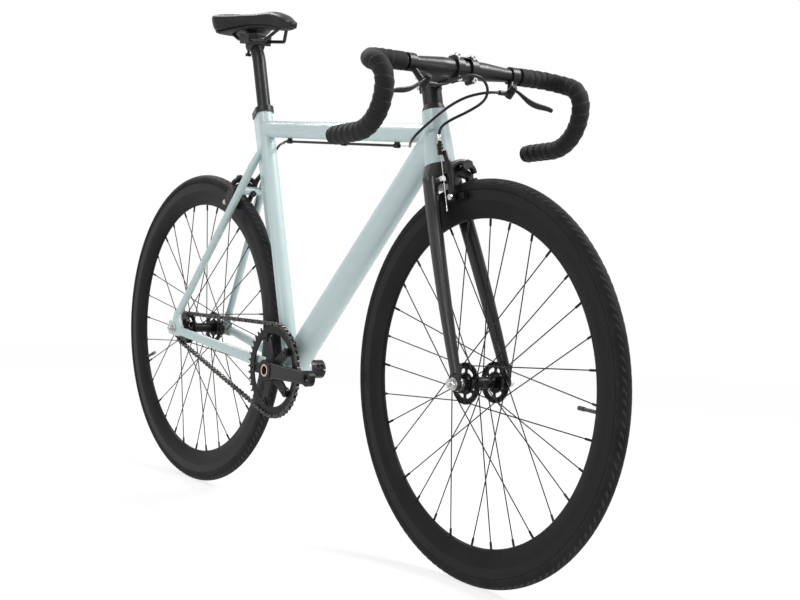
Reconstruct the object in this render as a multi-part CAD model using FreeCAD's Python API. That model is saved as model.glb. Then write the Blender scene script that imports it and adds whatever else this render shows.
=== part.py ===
import FreeCAD, Part
import math
import os

V = FreeCAD.Vector

# Single speed road bicycle with drop bars, in millimetres.
# X points forward, Y to the rider's left, Z up, origin on the ground under mid wheelbase.

# General clearances
body_gap = 0.4
running_gap = 0.05
seat_gap = 0.15
overrun = 3.0
right_angle = 90.0

# Wheels
wheel_radius = 336.0
wheelbase = 962.0
tyre_width = 25.0
tyre_wall = 3.0
bead_width = 2.3
tyre_height = 18.0
rim_bed_depth = 7.0
rim_track_height = 18.0
rim_depth = 47.5
rim_edge_radius = wheel_radius - tyre_height
rim_bed_radius = rim_edge_radius - rim_bed_depth
rim_shoulder_radius = rim_edge_radius - rim_track_height
rim_nose_radius = rim_edge_radius - rim_depth
rim_width = 23.0
rim_wall = 2.2
rim_nose_half = 4.5
rim_nose_rise = 2.5
rim_bulge = 1.2
tube_radius = 8.4
valve_radius = 3.0
valve_cap_radius = 3.6
valve_cap_length = 12.0
valve_reach = 38.0
front_valve_angle = -2.0
rear_valve_angle = 200.0

# Spokes
spokes_per_flange = 16
spoke_crossings = 3
spoke_radius = 1.0
spoke_hole_radius = 1.4
spoke_circle_radius = 30.5
spoke_head_radius = 1.9
spoke_head_height = 1.0
spoke_lift = 1.4
nipple_radius = 2.0
nipple_length = 12.0
nipple_spread = 1.6

# Hubs and axles
flange_radius = 34.5
flange_thickness = 3.0
flange_slots = 6
flange_slot_circle = 21.5
flange_slot_radius = 3.6
flange_slot_turn = 30.0
hub_barrel_radius = 10.0
hub_shell_radius = 16.0
hub_bearing_width = 8.0
hub_bearing_radius = 11.0
front_flange_place = 31.5
front_hub_end = 42.0
front_hub_width = 100.0
front_axle_radius = 4.5
rear_flange_place = 31.5
rear_hub_end = 51.0
rear_hub_width = 120.0
rear_axle_radius = 5.0
lock_nut_radius = 12.5
washer_radius = 10.5
washer_thickness = 2.0
axle_nut_flats = 15.0
axle_nut_height = 8.0
axle_stub = 3.0

# Drive
chain_pitch = 12.7
chain_links = 92
ring_teeth = 45
cog_teeth = 16
chain_line = 44.0
roller_radius = 3.95
chain_inner_width = 3.4
chain_plate = 1.0
chain_plate_half = 4.1
chain_waist_half = 2.6
chain_pin_radius = 1.8
chain_pin_stub = 0.6
tooth_height = 3.6
tooth_width = 2.4
tooth_tip_half = 0.9
ring_inner_radius = 72.0
ring_bolt_circle = 65.0
ring_tab_radius = 9.5
ring_bolts = 5
ring_bolt_radius = 4.0
ring_bolt_head = 6.5
ring_bolt_head_height = 2.0
cog_body_width = 5.0
cog_hole_circle = 23.5
cog_holes = 8
cog_hole_radius = 2.6
lock_ring_radius = 18.5
lock_ring_width = 3.2
lock_ring_notches = 6

# Cranks
crank_length = 165.0
crank_angle = 1.5
crank_hub_radius = 21.0
crank_hub_outer = 65.0
crank_hub_inner = 46.0
left_boss_radius = 18.5
left_boss_outer = 68.0
arm_root_half = 16.0
arm_root_thickness = 13.0
arm_tip_half = 13.0
arm_tip_thickness = 11.5
arm_corner = 4.0
pedal_boss_radius = 15.0
pedal_face = 74.0
pedal_hole_radius = 7.14
spider_thickness = 5.0
spider_root_half = 12.0
spider_tip_half = 9.0
spindle_radius = 12.0
spindle_wall = 3.0
pinch_slot = 2.0
pinch_bolt_radius = 2.5
pinch_bolt_head = 4.2

# Bottom bracket
bb_drop = 47.5
bb_shell_width = 68.0
bb_shell_radius = 21.0
bb_shell_wall = 3.5
cup_radius = 22.5
cup_flange = 11.0
cup_thread = 9.0

# Main tubes
seat_angle = 73.3
head_angle = 74.4
fork_length = 381.0
fork_rake = 38.0
tube_wall = 1.8
seat_tube_radius = 16.0
seat_tube_length = 534.0
fin_start = 205.0
fin_full = 300.0
fin_depth = 38.0
fin_depth_top = 41.0
fin_tail_half = 4.0
fin_root_half = 15.2
fin_root_place = 5.0
top_tube_radius = 17.0
top_tube_rear_place = 500.0
top_tube_front_place = 57.0
down_tube_rise = 4.0
down_tube_foot_half = 27.2
down_tube_foot_width = 27.0
down_tube_head_half = 25.0
down_tube_head_width = 22.0
down_tube_front_place = 52.0
head_tube_length = 96.5
head_tube_top_radius = 21.5
head_tube_foot_radius = 27.0

# Headset and fork
steerer_radius = 14.3
steerer_wall = 2.6
bearing_wall = 4.6
bearing_height = 9.0
head_bore_wall = 3.2
head_cover_height = 10.0
head_cover_top_radius = 17.5
spacer_radius = 17.2
spacer_height = 28.0
crown_height = 40.0
crown_waist_share = 0.6
crown_half_length = 27.0
crown_half_width = 37.5
crown_foot_half = 19.5
crown_shoulder_half = 35.5
blade_root_drop = 25.0
blade_root_half = 17.0
blade_root_width = 9.0
blade_tip_half = 11.5
blade_tip_width = 6.0
blade_tip_rise = 16.0
blade_mid_share = 0.5
blade_mid_half = 15.5
blade_mid_width = 9.0
blade_mid_bow = 3.0
fork_end_thickness = 7.0
fork_end_radius = 12.0
fork_end_length = 30.0

# Stays and dropouts
chainstay_root_half = 13.0
chainstay_root_width = 7.0
chainstay_root_place = 23.0
chainstay_tip_half = 9.0
chainstay_tip_width = 6.0
chainstay_tip_forward = 24.0
chainstay_tip_drop = 5.0
seatstay_foot_radius = 7.6
seatstay_radius = 8.4
seatstay_top_radius = 5.0
seatstay_foot_forward = 9.0
seatstay_foot_rise = 28.0
seatstay_top_drop = 66.0
seatstay_neck_drop = 103.5
seatstay_top_place = seat_tube_length - seatstay_top_drop
seatstay_neck_place = seat_tube_length - seatstay_neck_drop
seatstay_neck_half = 19.2
seatstay_neck_back = 39.0
seatstay_top_half = 10.5
seatstay_top_back = -3.0
bridge_share = 0.847
bridge_radius = 8.5
dropout_thickness = 7.0
dropout_tail = 23.0
dropout_half = 14.0
dropout_nose = 32.0
dropout_top = 36.0
dropout_slot_front = 8.0
dropout_corner_share = 0.62

# Seat clamp, post and saddle
clamp_height = 12.0
clamp_wall = 3.0
clamp_tail_half = 6.0
clamp_bolt_radius = 2.5
clamp_bolt_head = 4.2
post_radius = 13.6
post_wall = 2.4
post_insert = 110.0
post_straight = 642.0
post_bend_radius = 90.0
post_bend = 16.0
post_neck = 20.0
post_head_radius = 14.0
post_head_half = 15.0
rail_radius = 3.5
rail_half_spread = 22.0
rail_nose_half = 9.0
rail_seat_height = 9.0
rail_front_reach = 78.0
rail_rear_reach = 32.0
rail_slope = 4.5
rail_bend = 11.0
rail_front_rise = 23.0
rail_front_run = 26.0
rail_rear_rise = 11.0
rail_rear_run = 22.0
cradle_half_length = 18.0
cradle_wall = 5.0
cradle_cap = 6.0
cradle_half_width = 26.8
cradle_bolt_radius = 3.0
cradle_bolt_head = 6.0
cradle_bolt_length = 44.0
cradle_bolt_back = 25.0
saddle_length = 268.0
saddle_half_width = 67.0
saddle_nose_forward = 142.0
saddle_rear_rise = 20.0
saddle_depth = 42.0
saddle_crown = 5.0
saddle_tilt = 1.7
saddle_base_thickness = 6.0
saddle_base_share = 0.84
saddle_station_shares = (0.0, 0.06, 0.2, 0.36, 0.56, 0.78, 0.93, 1.0)
saddle_width_shares = (0.5, 0.66, 0.985, 0.82, 0.46, 0.3, 0.24, 0.14)
saddle_rise_shares = (0.86, 0.965, 0.99, 0.88, 0.87, 0.92, 0.66, 0.34)
saddle_belly_shares = (0.43, 0.23, 0.0, 0.14, 0.3, 0.22, 0.07, 0.05)
saddle_side_share = 0.6
saddle_shoulder_height_share = 0.62

# Stem and handlebar
stem_length = 87.0
stem_angle = 8.7
stem_height = 38.0
stem_clamp_radius = 18.5
stem_neck_half = 15.0
stem_neck_width = 14.0
stem_face_radius = 20.5
stem_face_half = 22.0
stem_split = 1.0
strap_window_half = 8.5
strap_window_turn = 50.0
stem_bolt_radius = 2.5
stem_bolt_head = 4.4
stem_bolt_head_height = 5.0
stem_bolt_place = 16.5
stem_bolt_rise = 19.5
stem_ear_radius = 5.2
stem_ear_depth = 9.0
top_cap_height = 5.0
bar_centre_radius = 15.9
bar_end_radius = 11.9
bar_wall = 2.0
bar_centre_half = 46.0
bar_taper_end = 96.0
bar_half_width = 210.0
corner_radius = 45.0
corner_drop = 15.0
hook_upper_radius = 38.0
hook_lower_radius = 73.0
drop_slope = 4.4
drop_straight = 66.0
tape_start = 124.0
tape_low = 2.5
tape_high = 3.7
tape_wraps = 21
tape_rise_share = 0.12
tape_top_share = 0.2
tape_fall_share = 0.34
plug_radius = 14.4
plug_cap = 3.0
plug_insert = 18.0

# Brake levers
lever_clamp_place = 111.0
lever_clamp_width = 15.0
lever_clamp_wall = 3.4
lever_forward = 26.0
lever_drop = 26.0
lever_pivot_place = 92.0
lever_pin_radius = 2.5
lever_hub_radius = 6.2
lever_hub_half = 3.8
lever_block_radius = 7.0
lever_block_length = 12.0
lever_neck_radius = 5.5
lever_neck_share = 0.62
lever_barrel_radius = 4.2
lever_barrel_reach = 17.0
blade_length = 80.0
blade_station_shares = (0.0, 0.11, 0.4, 0.72, 1.0)
blade_forward_shares = (0.0, 0.03, 0.08, 0.12, 0.17)
blade_drop_shares = (0.0, 0.04, 0.22, 0.31, 0.37)
blade_half_shares = (0.038, 0.038, 0.065, 0.07, 0.05)
blade_thick_shares = (0.036, 0.037, 0.04, 0.04, 0.03)

# Brake callipers
brake_bolt_radius = 3.0
brake_bolt_head = 6.5
brake_bolt_head_height = 5.0
front_brake_drop = 20.0
front_brake_standoff = 36.0
rear_brake_standoff = 14.0
brake_arm_thickness = 10.0
brake_arm_space = 2.4
brake_reach = 51.0
brake_side_pivot = 15.0
brake_side_pivot_rise = 8.0
brake_barrel_side = 35.0
brake_barrel_rise = 30.0
brake_barrel_radius = 5.2
brake_barrel_bore = 3.3
brake_barrel_length = 16.0
brake_anchor_side = 39.0
brake_anchor_drop = 19.0
brake_anchor_head = 4.6
brake_anchor_height = 6.0
brake_pad_arm_side = 25.5
brake_shoulder_side = 22.0
brake_shoulder_rise = 19.0
brake_elbow_side = 26.0
brake_elbow_drop = 20.0
brake_hub_radius = 8.5
brake_arm_half = 6.0
brake_arm_tip = 4.5
bracket_thickness = 4.0
pad_gap = 2.2
pad_thickness = 4.5
pad_holder_thickness = 2.4
pad_half_length = 25.0
pad_half_height = 5.0
pad_track_share = 0.55
pad_bolt_radius = 3.0
pad_bolt_head = 5.0
pad_bolt_head_height = 3.0
wire_radius = 0.8
wire_tail = 55.0
wire_tip_radius = 1.4
wire_tip_length = 10.0

# Brake hoses
hose_radius = 2.4
hose_hang = 6.5
guide_shares = (0.198, 0.495, 0.835)
guide_radius = 4.2
guide_length = 13.0
guide_web_half = 1.5
wire_gap_length = 38.0
hose_corner_share = 0.868
hose_socket_share = 0.3
hose_lead_share = 0.8
hose_barrel_share = 1.4
front_hose_points = (
    (410, -30, 834), (415, -6, 844), (418, 18, 841), (418, 34, 824),
    (413, 32, 803), (401, 8, 784), (385, -18, 768),
)
rear_loop_points = (
    (392, 28, 815), (380, 6, 805), (367, -18, 786),
    (345, -34, 762), (316, -38, 742), (285, -25, 730),
)
rear_hose_points = (
    (-192, 12, 738), (-216, 25, 741), (-245, 32, 735), (-266, 34, 716),
)


# Shape helpers

def rod(start, end, radius):
    """Round bar between two points."""
    axis = end - start
    return Part.makeCylinder(radius, axis.Length, start, axis)


def sleeve(start, end, outer, inner):
    """Tube between two points."""
    return rod(start, end, outer).cut(rod(start, end, inner))


def taper(start, end, start_radius, end_radius):
    """Cone between two points."""
    axis = end - start
    return Part.makeCone(start_radius, end_radius, axis.Length, start, axis)


def unit(vector):
    """Vector of length one."""
    return vector * (1.0 / vector.Length)


def turned(degrees):
    """Cosine and sine of an angle in degrees."""
    angle = math.radians(degrees)
    return math.cos(angle), math.sin(angle)


def fused(shapes):
    """One solid from overlapping shapes."""
    first = shapes[0]
    if len(shapes) == 1:
        return first
    return first.multiFuse(list(shapes[1:])).removeSplitter()


def group(shapes):
    """Several separate solids kept as one piece."""
    solids = []
    for shape in shapes:
        solids.extend(shape.Solids)
    return Part.makeCompound(solids)


def oval(centre, long_way, short_way, long_half, short_half):
    """Closed elliptical section about a centre."""
    major = centre + long_way * long_half
    minor = centre + short_way * short_half
    return Part.Wire([Part.Ellipse(major, minor, centre).toShape()])


def round_box(centre, across, upward, half_across, half_up, corner):
    """Closed rectangle with rounded corners."""
    bend = corner * math.sqrt(0.5)
    edges = []
    last = None
    first = None
    for side, rise in ((1, 1), (-1, 1), (-1, -1), (1, -1)):
        inner = centre + across * (side * (half_across - corner)) + upward * (rise * (half_up - corner))
        on_side = inner + across * (side * corner)
        on_top = inner + upward * (rise * corner)
        middle = inner + across * (side * bend) + upward * (rise * bend)
        start, end = (on_side, on_top) if side * rise > 0 else (on_top, on_side)
        if last is not None:
            edges.append(Part.LineSegment(last, start).toShape())
        else:
            first = start
        edges.append(Part.Arc(start, middle, end).toShape())
        last = end
    edges.append(Part.LineSegment(last, first).toShape())
    return Part.Wire(edges)


def lofted(wires, ruled=False):
    """Solid through closed sections."""
    return Part.makeLoft(wires, True, ruled)


def swept(wire, radius):
    """Round tube along a smooth wire."""
    edge = wire.OrderedEdges[0]
    start = edge.valueAt(edge.FirstParameter)
    along = edge.tangentAt(edge.FirstParameter)
    profile = Part.Wire([Part.Circle(start, along, radius).toShape()])
    return wire.makePipeShell([profile], True, False)


def spun(wires, centre):
    """Solid of revolution about the cross axis through a centre."""
    face = Part.Face(wires)
    return face.revolve(centre, V(0, 1, 0), 360)


def on_wheel(centre, radius, degrees, side):
    """Point at a radius, a turn from straight forward and a side distance."""
    across, rise = turned(degrees)
    return V(centre.x + radius * across, side, centre.z + radius * rise)


def cross_rod(centre, radius, side_from, side_to):
    """Round bar along Y at the height of a centre."""
    start = V(centre.x, side_from, centre.z)
    end = V(centre.x, side_to, centre.z)
    return rod(start, end, radius)


def hexagon(centre, way, flats, height):
    """Hexagonal prism."""
    radius = flats / math.sqrt(3.0)
    seed = V(0, 1, 0) if abs(way.y) < 0.9 else V(1, 0, 0)
    across = unit(seed - way * seed.dot(way))
    upward = way.cross(across)
    corners = []
    for step in range(7):
        angle = math.radians(60 * step)
        corners.append(centre + across * (radius * math.cos(angle)) + upward * (radius * math.sin(angle)))
    return Part.Face(Part.makePolygon(corners)).extrude(way * height)


def copies(shape, count, centre, axis):
    """Equal copies turned about an axis."""
    made = []
    for step in range(count):
        copy = shape.copy()
        copy.rotate(centre, axis, 360.0 * step / count)
        made.append(copy)
    return made


def mirrored(shape):
    """The same shape on the other side of the bicycle."""
    return shape.mirror(V(0, 0, 0), V(0, 1, 0))


def rounded_route(points, name):
    """Straight runs joined by the largest tangent arcs that the runs allow."""
    edges = []
    radii = []
    last = points[0]
    for index in range(1, len(points) - 1):
        corner = points[index]
        back = points[index - 1] - corner
        ahead = points[index + 1] - corner
        half_turn = (math.pi - back.getAngle(ahead)) / 2
        cut = 0.45 * min(back.Length, ahead.Length)
        radius = cut / math.tan(half_turn)
        start = corner + unit(back) * cut
        end = corner + unit(ahead) * cut
        inward = unit(unit(back) + unit(ahead))
        middle = corner + inward * (radius / math.cos(half_turn) - radius)
        edges.append(Part.LineSegment(last, start).toShape())
        edges.append(Part.Arc(start, middle, end).toShape())
        radii.append(radius)
        last = end
    edges.append(Part.LineSegment(last, points[-1]).toShape())
    print(name, "radii", [round(radius, 1) for radius in radii])
    return Part.Wire(edges)


def hose(points, name, radius):
    """Round hose along a route, with its volume compared with section times length."""
    wire = rounded_route(points, name)
    solid = swept(wire, radius)
    expected = math.pi * radius ** 2 * wire.Length
    print(name, "length", round(wire.Length, 1), "volume share", round(solid.Volume / expected, 4))
    return solid


# Places that follow from the sizes

rear_centre = V(-wheelbase / 2, 0, wheel_radius)
front_centre = V(wheelbase / 2, 0, wheel_radius)
ring_pitch_radius = chain_pitch / (2 * math.sin(math.pi / ring_teeth))
cog_pitch_radius = chain_pitch / (2 * math.sin(math.pi / cog_teeth))


def chain_lean(centres):
    """Angle between the straight chain runs and the line of centres."""
    return math.asin((ring_pitch_radius - cog_pitch_radius) / centres)


def chain_spans(centres):
    """Pitches of chain on the ring's upper half, top run, cog, lower run and ring's lower half."""
    lean = chain_lean(centres)
    ring_half = ring_teeth * (math.pi / 2 + lean) / (2 * math.pi)
    cog_wrap = cog_teeth * (math.pi - 2 * lean) / (2 * math.pi)
    straight = centres * math.cos(lean) / chain_pitch
    return ring_half, straight, cog_wrap, straight, ring_half


def tight_chain_centres():
    """Centre distance at which the chain closes, found by halving an interval."""
    short = ring_pitch_radius + cog_pitch_radius
    long = chain_links * chain_pitch
    while long - short > seat_gap / chain_links:
        middle = (short + long) / 2
        if sum(chain_spans(middle)) < chain_links:
            short = middle
        else:
            long = middle
    return (short + long) / 2


chain_centres = tight_chain_centres()
bb_centre = V(
    rear_centre.x + math.sqrt(chain_centres ** 2 - bb_drop ** 2), 0, wheel_radius - bb_drop,
)
seat_cos, seat_sin = turned(seat_angle)
seat_up = V(-seat_cos, 0, seat_sin)
seat_back = V(-seat_sin, 0, -seat_cos)
head_cos, head_sin = turned(head_angle)
head_up = V(-head_cos, 0, head_sin)
head_forward = V(head_sin, 0, head_cos)
side = V(0, 1, 0)
head_foot = front_centre + head_up * fork_length - head_forward * fork_rake
head_top = head_foot + head_up * head_tube_length
seat_top = bb_centre + seat_up * seat_tube_length
top_tube_rear = bb_centre + seat_up * top_tube_rear_place
top_tube_front = head_foot + head_up * top_tube_front_place
top_tube_way = unit(top_tube_front - top_tube_rear)
top_tube_down = V(top_tube_way.z, 0, -top_tube_way.x)
down_tube_foot = bb_centre + V(0, 0, down_tube_rise)
down_tube_head = head_foot + head_up * down_tube_front_place
down_tube_way = unit(down_tube_head - down_tube_foot)
down_tube_rear = V(-down_tube_way.z, 0, down_tube_way.x)
stem_foot = head_top + head_up * (body_gap + head_cover_height + spacer_height)
stem_middle = stem_foot + head_up * (stem_height / 2)
stem_cos, stem_sin = turned(stem_angle)
stem_way = V(stem_cos, 0, stem_sin)
stem_rise = V(-stem_sin, 0, stem_cos)
bar_centre = stem_middle + stem_way * stem_length
post_foot = seat_top - seat_up * post_insert
post_bend_start = bb_centre + seat_up * post_straight
lean_cos, lean_sin = turned(seat_angle - post_bend)
post_lean = V(-lean_cos, 0, lean_sin)
lean_back = V(-lean_sin, 0, -lean_cos)
post_bend_centre = post_bend_start + seat_back * post_bend_radius
post_bend_end = post_bend_centre - lean_back * post_bend_radius
post_head = post_bend_end + post_lean * post_neck
rail_cos, rail_sin = turned(-rail_slope)
rail_forward = V(rail_cos, 0, rail_sin)
rail_up = V(-rail_sin, 0, rail_cos)
rail_middle = post_head + rail_up * rail_seat_height


# Frame

def seat_tube_body():
    """Round seat tube with a flat tail that grows out of its upper half."""
    round_part = rod(bb_centre, seat_top, seat_tube_radius)
    sections = []
    for place, depth in ((fin_start, seat_tube_radius - fin_tail_half), (fin_full, fin_depth),
                         (seat_tube_length, fin_depth_top)):
        middle = bb_centre + seat_up * place
        sections.append(tail_section(middle, depth, fin_root_half, fin_tail_half))
    return fused([round_part, lofted(sections, True)])


def tail_section(middle, depth, root_half, tail_half):
    """Flat sided tail behind a tube, closed by a small round edge."""
    root = middle + seat_back * fin_root_place
    flank = middle + seat_back * (depth - tail_half)
    tip = middle + seat_back * depth
    edges = [
        Part.LineSegment(root - side * root_half, root + side * root_half).toShape(),
        Part.LineSegment(root + side * root_half, flank + side * tail_half).toShape(),
        Part.Arc(flank + side * tail_half, tip, flank - side * tail_half).toShape(),
        Part.LineSegment(flank - side * tail_half, root - side * root_half).toShape(),
    ]
    return Part.Wire(edges)


def bb_shell_body():
    """Outer form of the bottom bracket shell."""
    return cross_rod(bb_centre, bb_shell_radius, -bb_shell_width / 2, bb_shell_width / 2)


def head_tube_body():
    """Outer form of the tapered head tube."""
    return taper(head_foot, head_top, head_tube_foot_radius, head_tube_top_radius)


def down_tube_body(wall):
    """Down tube from the bottom bracket to the head tube, less a wall all round."""
    foot = oval(
        down_tube_foot, down_tube_rear, side,
        down_tube_foot_half - wall, down_tube_foot_width - wall,
    )
    head = oval(
        down_tube_head, down_tube_rear, side,
        down_tube_head_half - wall, down_tube_head_width - wall,
    )
    return lofted([foot, head])


def make_head_tube():
    """Head tube bored for the steerer, with a seat for a bearing at each end."""
    bore_radius = steerer_radius + head_bore_wall
    seat_radius = steerer_radius + running_gap + bearing_wall
    tube = head_tube_body().cut(rod(head_foot, head_top, bore_radius))
    tube = tube.cut(rod(head_foot, head_foot + head_up * bearing_height, seat_radius))
    return tube.cut(rod(head_top - head_up * bearing_height, head_top, seat_radius))


def make_headset_bearings():
    """Two bearing rings between head tube and steerer."""
    inner = steerer_radius + running_gap
    outer = inner + bearing_wall
    lower = sleeve(head_foot, head_foot + head_up * bearing_height, outer, inner)
    upper = sleeve(head_top - head_up * bearing_height, head_top, outer, inner)
    return group([lower, upper])


def make_seat_tube():
    """Seat tube bored for the seatpost and cut to the bottom bracket shell."""
    bore = rod(bb_centre, seat_top, post_radius + running_gap)
    return seat_tube_body().cut(bore).cut(bb_shell_body())


def make_down_tube():
    """Hollow down tube cut to the tubes that it meets."""
    tube = down_tube_body(0).cut(down_tube_body(tube_wall))
    tube = tube.cut(head_tube_body()).cut(bb_shell_body()).cut(seat_tube_body())
    return largest(tube)


def largest(shape):
    """The biggest solid of a cut tube."""
    return max(shape.Solids, key=lambda solid: solid.Volume)


def make_top_tube():
    """Hollow top tube cut to the seat tube, head tube and down tube."""
    tube = sleeve(top_tube_rear, top_tube_front, top_tube_radius, top_tube_radius - tube_wall)
    tube = tube.cut(seat_tube_body()).cut(head_tube_body()).cut(down_tube_body(0))
    return largest(tube)


def make_bottom_bracket_shell():
    """Shell that the cups screw into."""
    bore = cross_rod(
        bb_centre, bb_shell_radius - bb_shell_wall, -bb_shell_width / 2, bb_shell_width / 2,
    )
    return bb_shell_body().cut(bore)


def make_bottom_bracket_cups():
    """Bearing cup on each side of the shell."""
    bore_radius = bb_shell_radius - bb_shell_wall
    face = bb_shell_width / 2
    flange = cross_rod(bb_centre, cup_radius, face, face + cup_flange)
    thread = cross_rod(bb_centre, bore_radius, face - cup_thread, face)
    bore = cross_rod(
        bb_centre, spindle_radius + running_gap, face - cup_thread - overrun, face + cup_flange + overrun,
    )
    cup = fused([flange, thread]).cut(bore)
    flutes = rod(
        V(bb_centre.x + cup_radius + seat_gap, face + cup_flange * 0.3, bb_centre.z),
        V(bb_centre.x + cup_radius + seat_gap, face + cup_flange + overrun, bb_centre.z),
        cup_flange * 0.2,
    )
    for flute in copies(flutes, 16, bb_centre, side):
        cup = cup.cut(flute)
    return group([cup, mirrored(cup)])


def dropout_body():
    """Left rear dropout plate with a slot that opens to the rear."""
    shares = (
        (-dropout_tail, dropout_half), (-dropout_tail, -dropout_half),
        (dropout_nose * dropout_corner_share, -dropout_half * 1.2),
        (dropout_nose, -dropout_half * 0.9), (dropout_nose, dropout_half * 0.35),
        (dropout_nose * dropout_corner_share, dropout_top * dropout_corner_share),
        (dropout_nose * dropout_corner_share, dropout_top),
        (0, dropout_top), (-dropout_tail * 0.35, dropout_half),
        (-dropout_tail, dropout_half),
    )
    inner = rear_hub_width / 2
    corners = [V(rear_centre.x + x, inner, rear_centre.z + z) for x, z in shares]
    plate = Part.Face(Part.makePolygon(corners)).extrude(V(0, dropout_thickness, 0))
    slot_half = rear_axle_radius + seat_gap
    slot = Part.makeBox(
        dropout_tail + dropout_slot_front, dropout_thickness + 2 * overrun, 2 * slot_half,
        V(rear_centre.x - dropout_tail - overrun, inner - overrun, rear_centre.z - slot_half),
    )
    front = V(rear_centre.x + dropout_slot_front - overrun, 0, rear_centre.z)
    round_end = cross_rod(front, slot_half, inner - overrun, inner + dropout_thickness + overrun)
    return plate.cut(slot).cut(round_end)


def make_rear_dropouts():
    """Both rear dropouts."""
    return group([dropout_body(), mirrored(dropout_body())])


def chainstay_body(wall):
    """Left chainstay, deeper at the bottom bracket than at the dropout, less a wall all round."""
    root = V(bb_centre.x, chainstay_root_place, bb_centre.z)
    tip = V(
        rear_centre.x + chainstay_tip_forward, rear_hub_width / 2 + dropout_thickness / 2,
        rear_centre.z - chainstay_tip_drop,
    )
    way = unit(tip - root)
    across = unit(V(-way.y, way.x, 0))
    upward = way.cross(across)
    if upward.z < 0:
        upward = upward * -1
    return lofted([
        oval(root, upward, across, chainstay_root_half - wall, chainstay_root_width - wall),
        oval(tip, upward, across, chainstay_tip_half - wall, chainstay_tip_width - wall),
    ])


def make_chainstays():
    """Both chainstays cut to the shell, seat tube and dropouts."""
    stay = chainstay_body(0).cut(chainstay_body(tube_wall)).cut(bb_shell_body())
    stay = largest(stay.cut(seat_tube_body()).cut(dropout_body()).cut(down_tube_body(0)))
    return group([stay, mirrored(stay)])


def seatstay_points():
    """Foot, neck and top of the left seatstay."""
    foot = V(
        rear_centre.x + seatstay_foot_forward, rear_hub_width / 2 + dropout_thickness / 2,
        rear_centre.z + seatstay_foot_rise,
    )
    neck = bb_centre + seat_up * seatstay_neck_place + seat_back * seatstay_neck_back
    top = bb_centre + seat_up * seatstay_top_place + seat_back * seatstay_top_back
    return foot, neck + side * seatstay_neck_half, top + side * seatstay_top_half


def seatstay_body(wall):
    """Left seatstay, round, tapering into the side of the seat tube, less a wall all round."""
    foot, neck, top = seatstay_points()
    way = unit(unit(neck - foot) + unit(top - neck))
    sections = []
    for place, radius in ((foot, seatstay_foot_radius), (neck, seatstay_radius), (top, seatstay_top_radius)):
        sections.append(Part.Wire([Part.Circle(place, way, radius - wall).toShape()]))
    return lofted(sections, True)


def bridge_centre():
    """Middle of the brake bridge between the seatstays."""
    foot, neck, top = seatstay_points()
    place = foot + (neck - foot) * bridge_share
    return V(place.x, 0, place.z)


def rear_brake_frame():
    """Origin, side, up and outward directions of the rear calliper."""
    foot, neck, top = seatstay_points()
    way = neck - foot
    upward = unit(V(way.x, 0, way.z))
    outward = V(-upward.z, 0, upward.x)
    return bridge_centre(), side * -1, upward, outward


def front_brake_frame():
    """Origin, side, up and outward directions of the front calliper."""
    return head_foot - head_up * front_brake_drop, side, head_up, head_forward


def make_seatstays():
    """Both seatstays and the bridge that carries the rear brake."""
    stay = seatstay_body(0)
    hollow_stay = stay.cut(seatstay_body(tube_wall))
    cut_stay = largest(hollow_stay.cut(seat_tube_body()).cut(dropout_body()))
    foot, neck, top = seatstay_points()
    reach = (foot + (neck - foot) * bridge_share).y
    bridge = cross_rod(bridge_centre(), bridge_radius, -reach, reach)
    bridge = bridge.cut(stay).cut(mirrored(stay))
    origin, across, upward, outward = rear_brake_frame()
    hole = rod(
        origin - outward * (bridge_radius + overrun), origin + outward * (bridge_radius + overrun),
        brake_bolt_radius + seat_gap,
    )
    return group([cut_stay, mirrored(cut_stay), bridge.cut(hole)])


def make_seat_clamp():
    """Collar round the seatpost on top of the seat tube, with its cross bolt."""
    foot = seat_top
    head = seat_top + seat_up * clamp_height
    ring = rod(foot, head, seat_tube_radius + clamp_wall)
    depth = fin_depth_top + clamp_wall
    root_half = fin_root_half + clamp_wall
    tail = lofted([
        tail_section(foot, depth, root_half, clamp_tail_half),
        tail_section(head, depth, root_half, clamp_tail_half),
    ], True)
    bore = rod(foot - seat_up * overrun, head + seat_up * overrun, post_radius + running_gap)
    bolt_place = foot + seat_up * (clamp_height / 2) + seat_back * (seat_tube_radius + fin_depth_top) * 0.5
    reach = clamp_tail_half + clamp_wall
    shank = rod(bolt_place - side * reach, bolt_place + side * reach, clamp_bolt_radius)
    collar = fused([ring, tail]).cut(bore).cut(shank)
    head_end = bolt_place + side * reach
    bolt = fused([shank, rod(head_end, head_end + side * clamp_bolt_head, clamp_bolt_head)])
    return group([collar, bolt])


# Brake hoses and their guides

def hose_line(share):
    """Point of the hose under the top tube, at a share of the tube from its front."""
    place = top_tube_front + (top_tube_rear - top_tube_front) * share
    return place + top_tube_down * (top_tube_radius + hose_hang)


def make_cable_guides():
    """Three small guides under the top tube."""
    guides = []
    for share in guide_shares:
        middle = hose_line(share)
        start = middle - top_tube_way * (guide_length / 2)
        end = middle + top_tube_way * (guide_length / 2)
        web = Part.makeBox(guide_length, 2 * guide_web_half, hose_hang + top_tube_radius)
        web.translate(V(-guide_length / 2, -guide_web_half, 0))
        web.rotate(V(0, 0, 0), side, -math.degrees(math.atan2(top_tube_way.z, top_tube_way.x)))
        web.translate(middle)
        tube = rod(top_tube_rear, top_tube_front, top_tube_radius)
        body = fused([rod(start, end, guide_radius), web]).cut(tube)
        guides.append(largest(body.cut(rod(start, end, hose_radius + seat_gap))))
    return group(guides)


def rear_barrel_top():
    """Point where the rear hose meets the barrel of the rear calliper."""
    return barrel_top(rear_brake_frame(), rear_brake_standoff)


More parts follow.
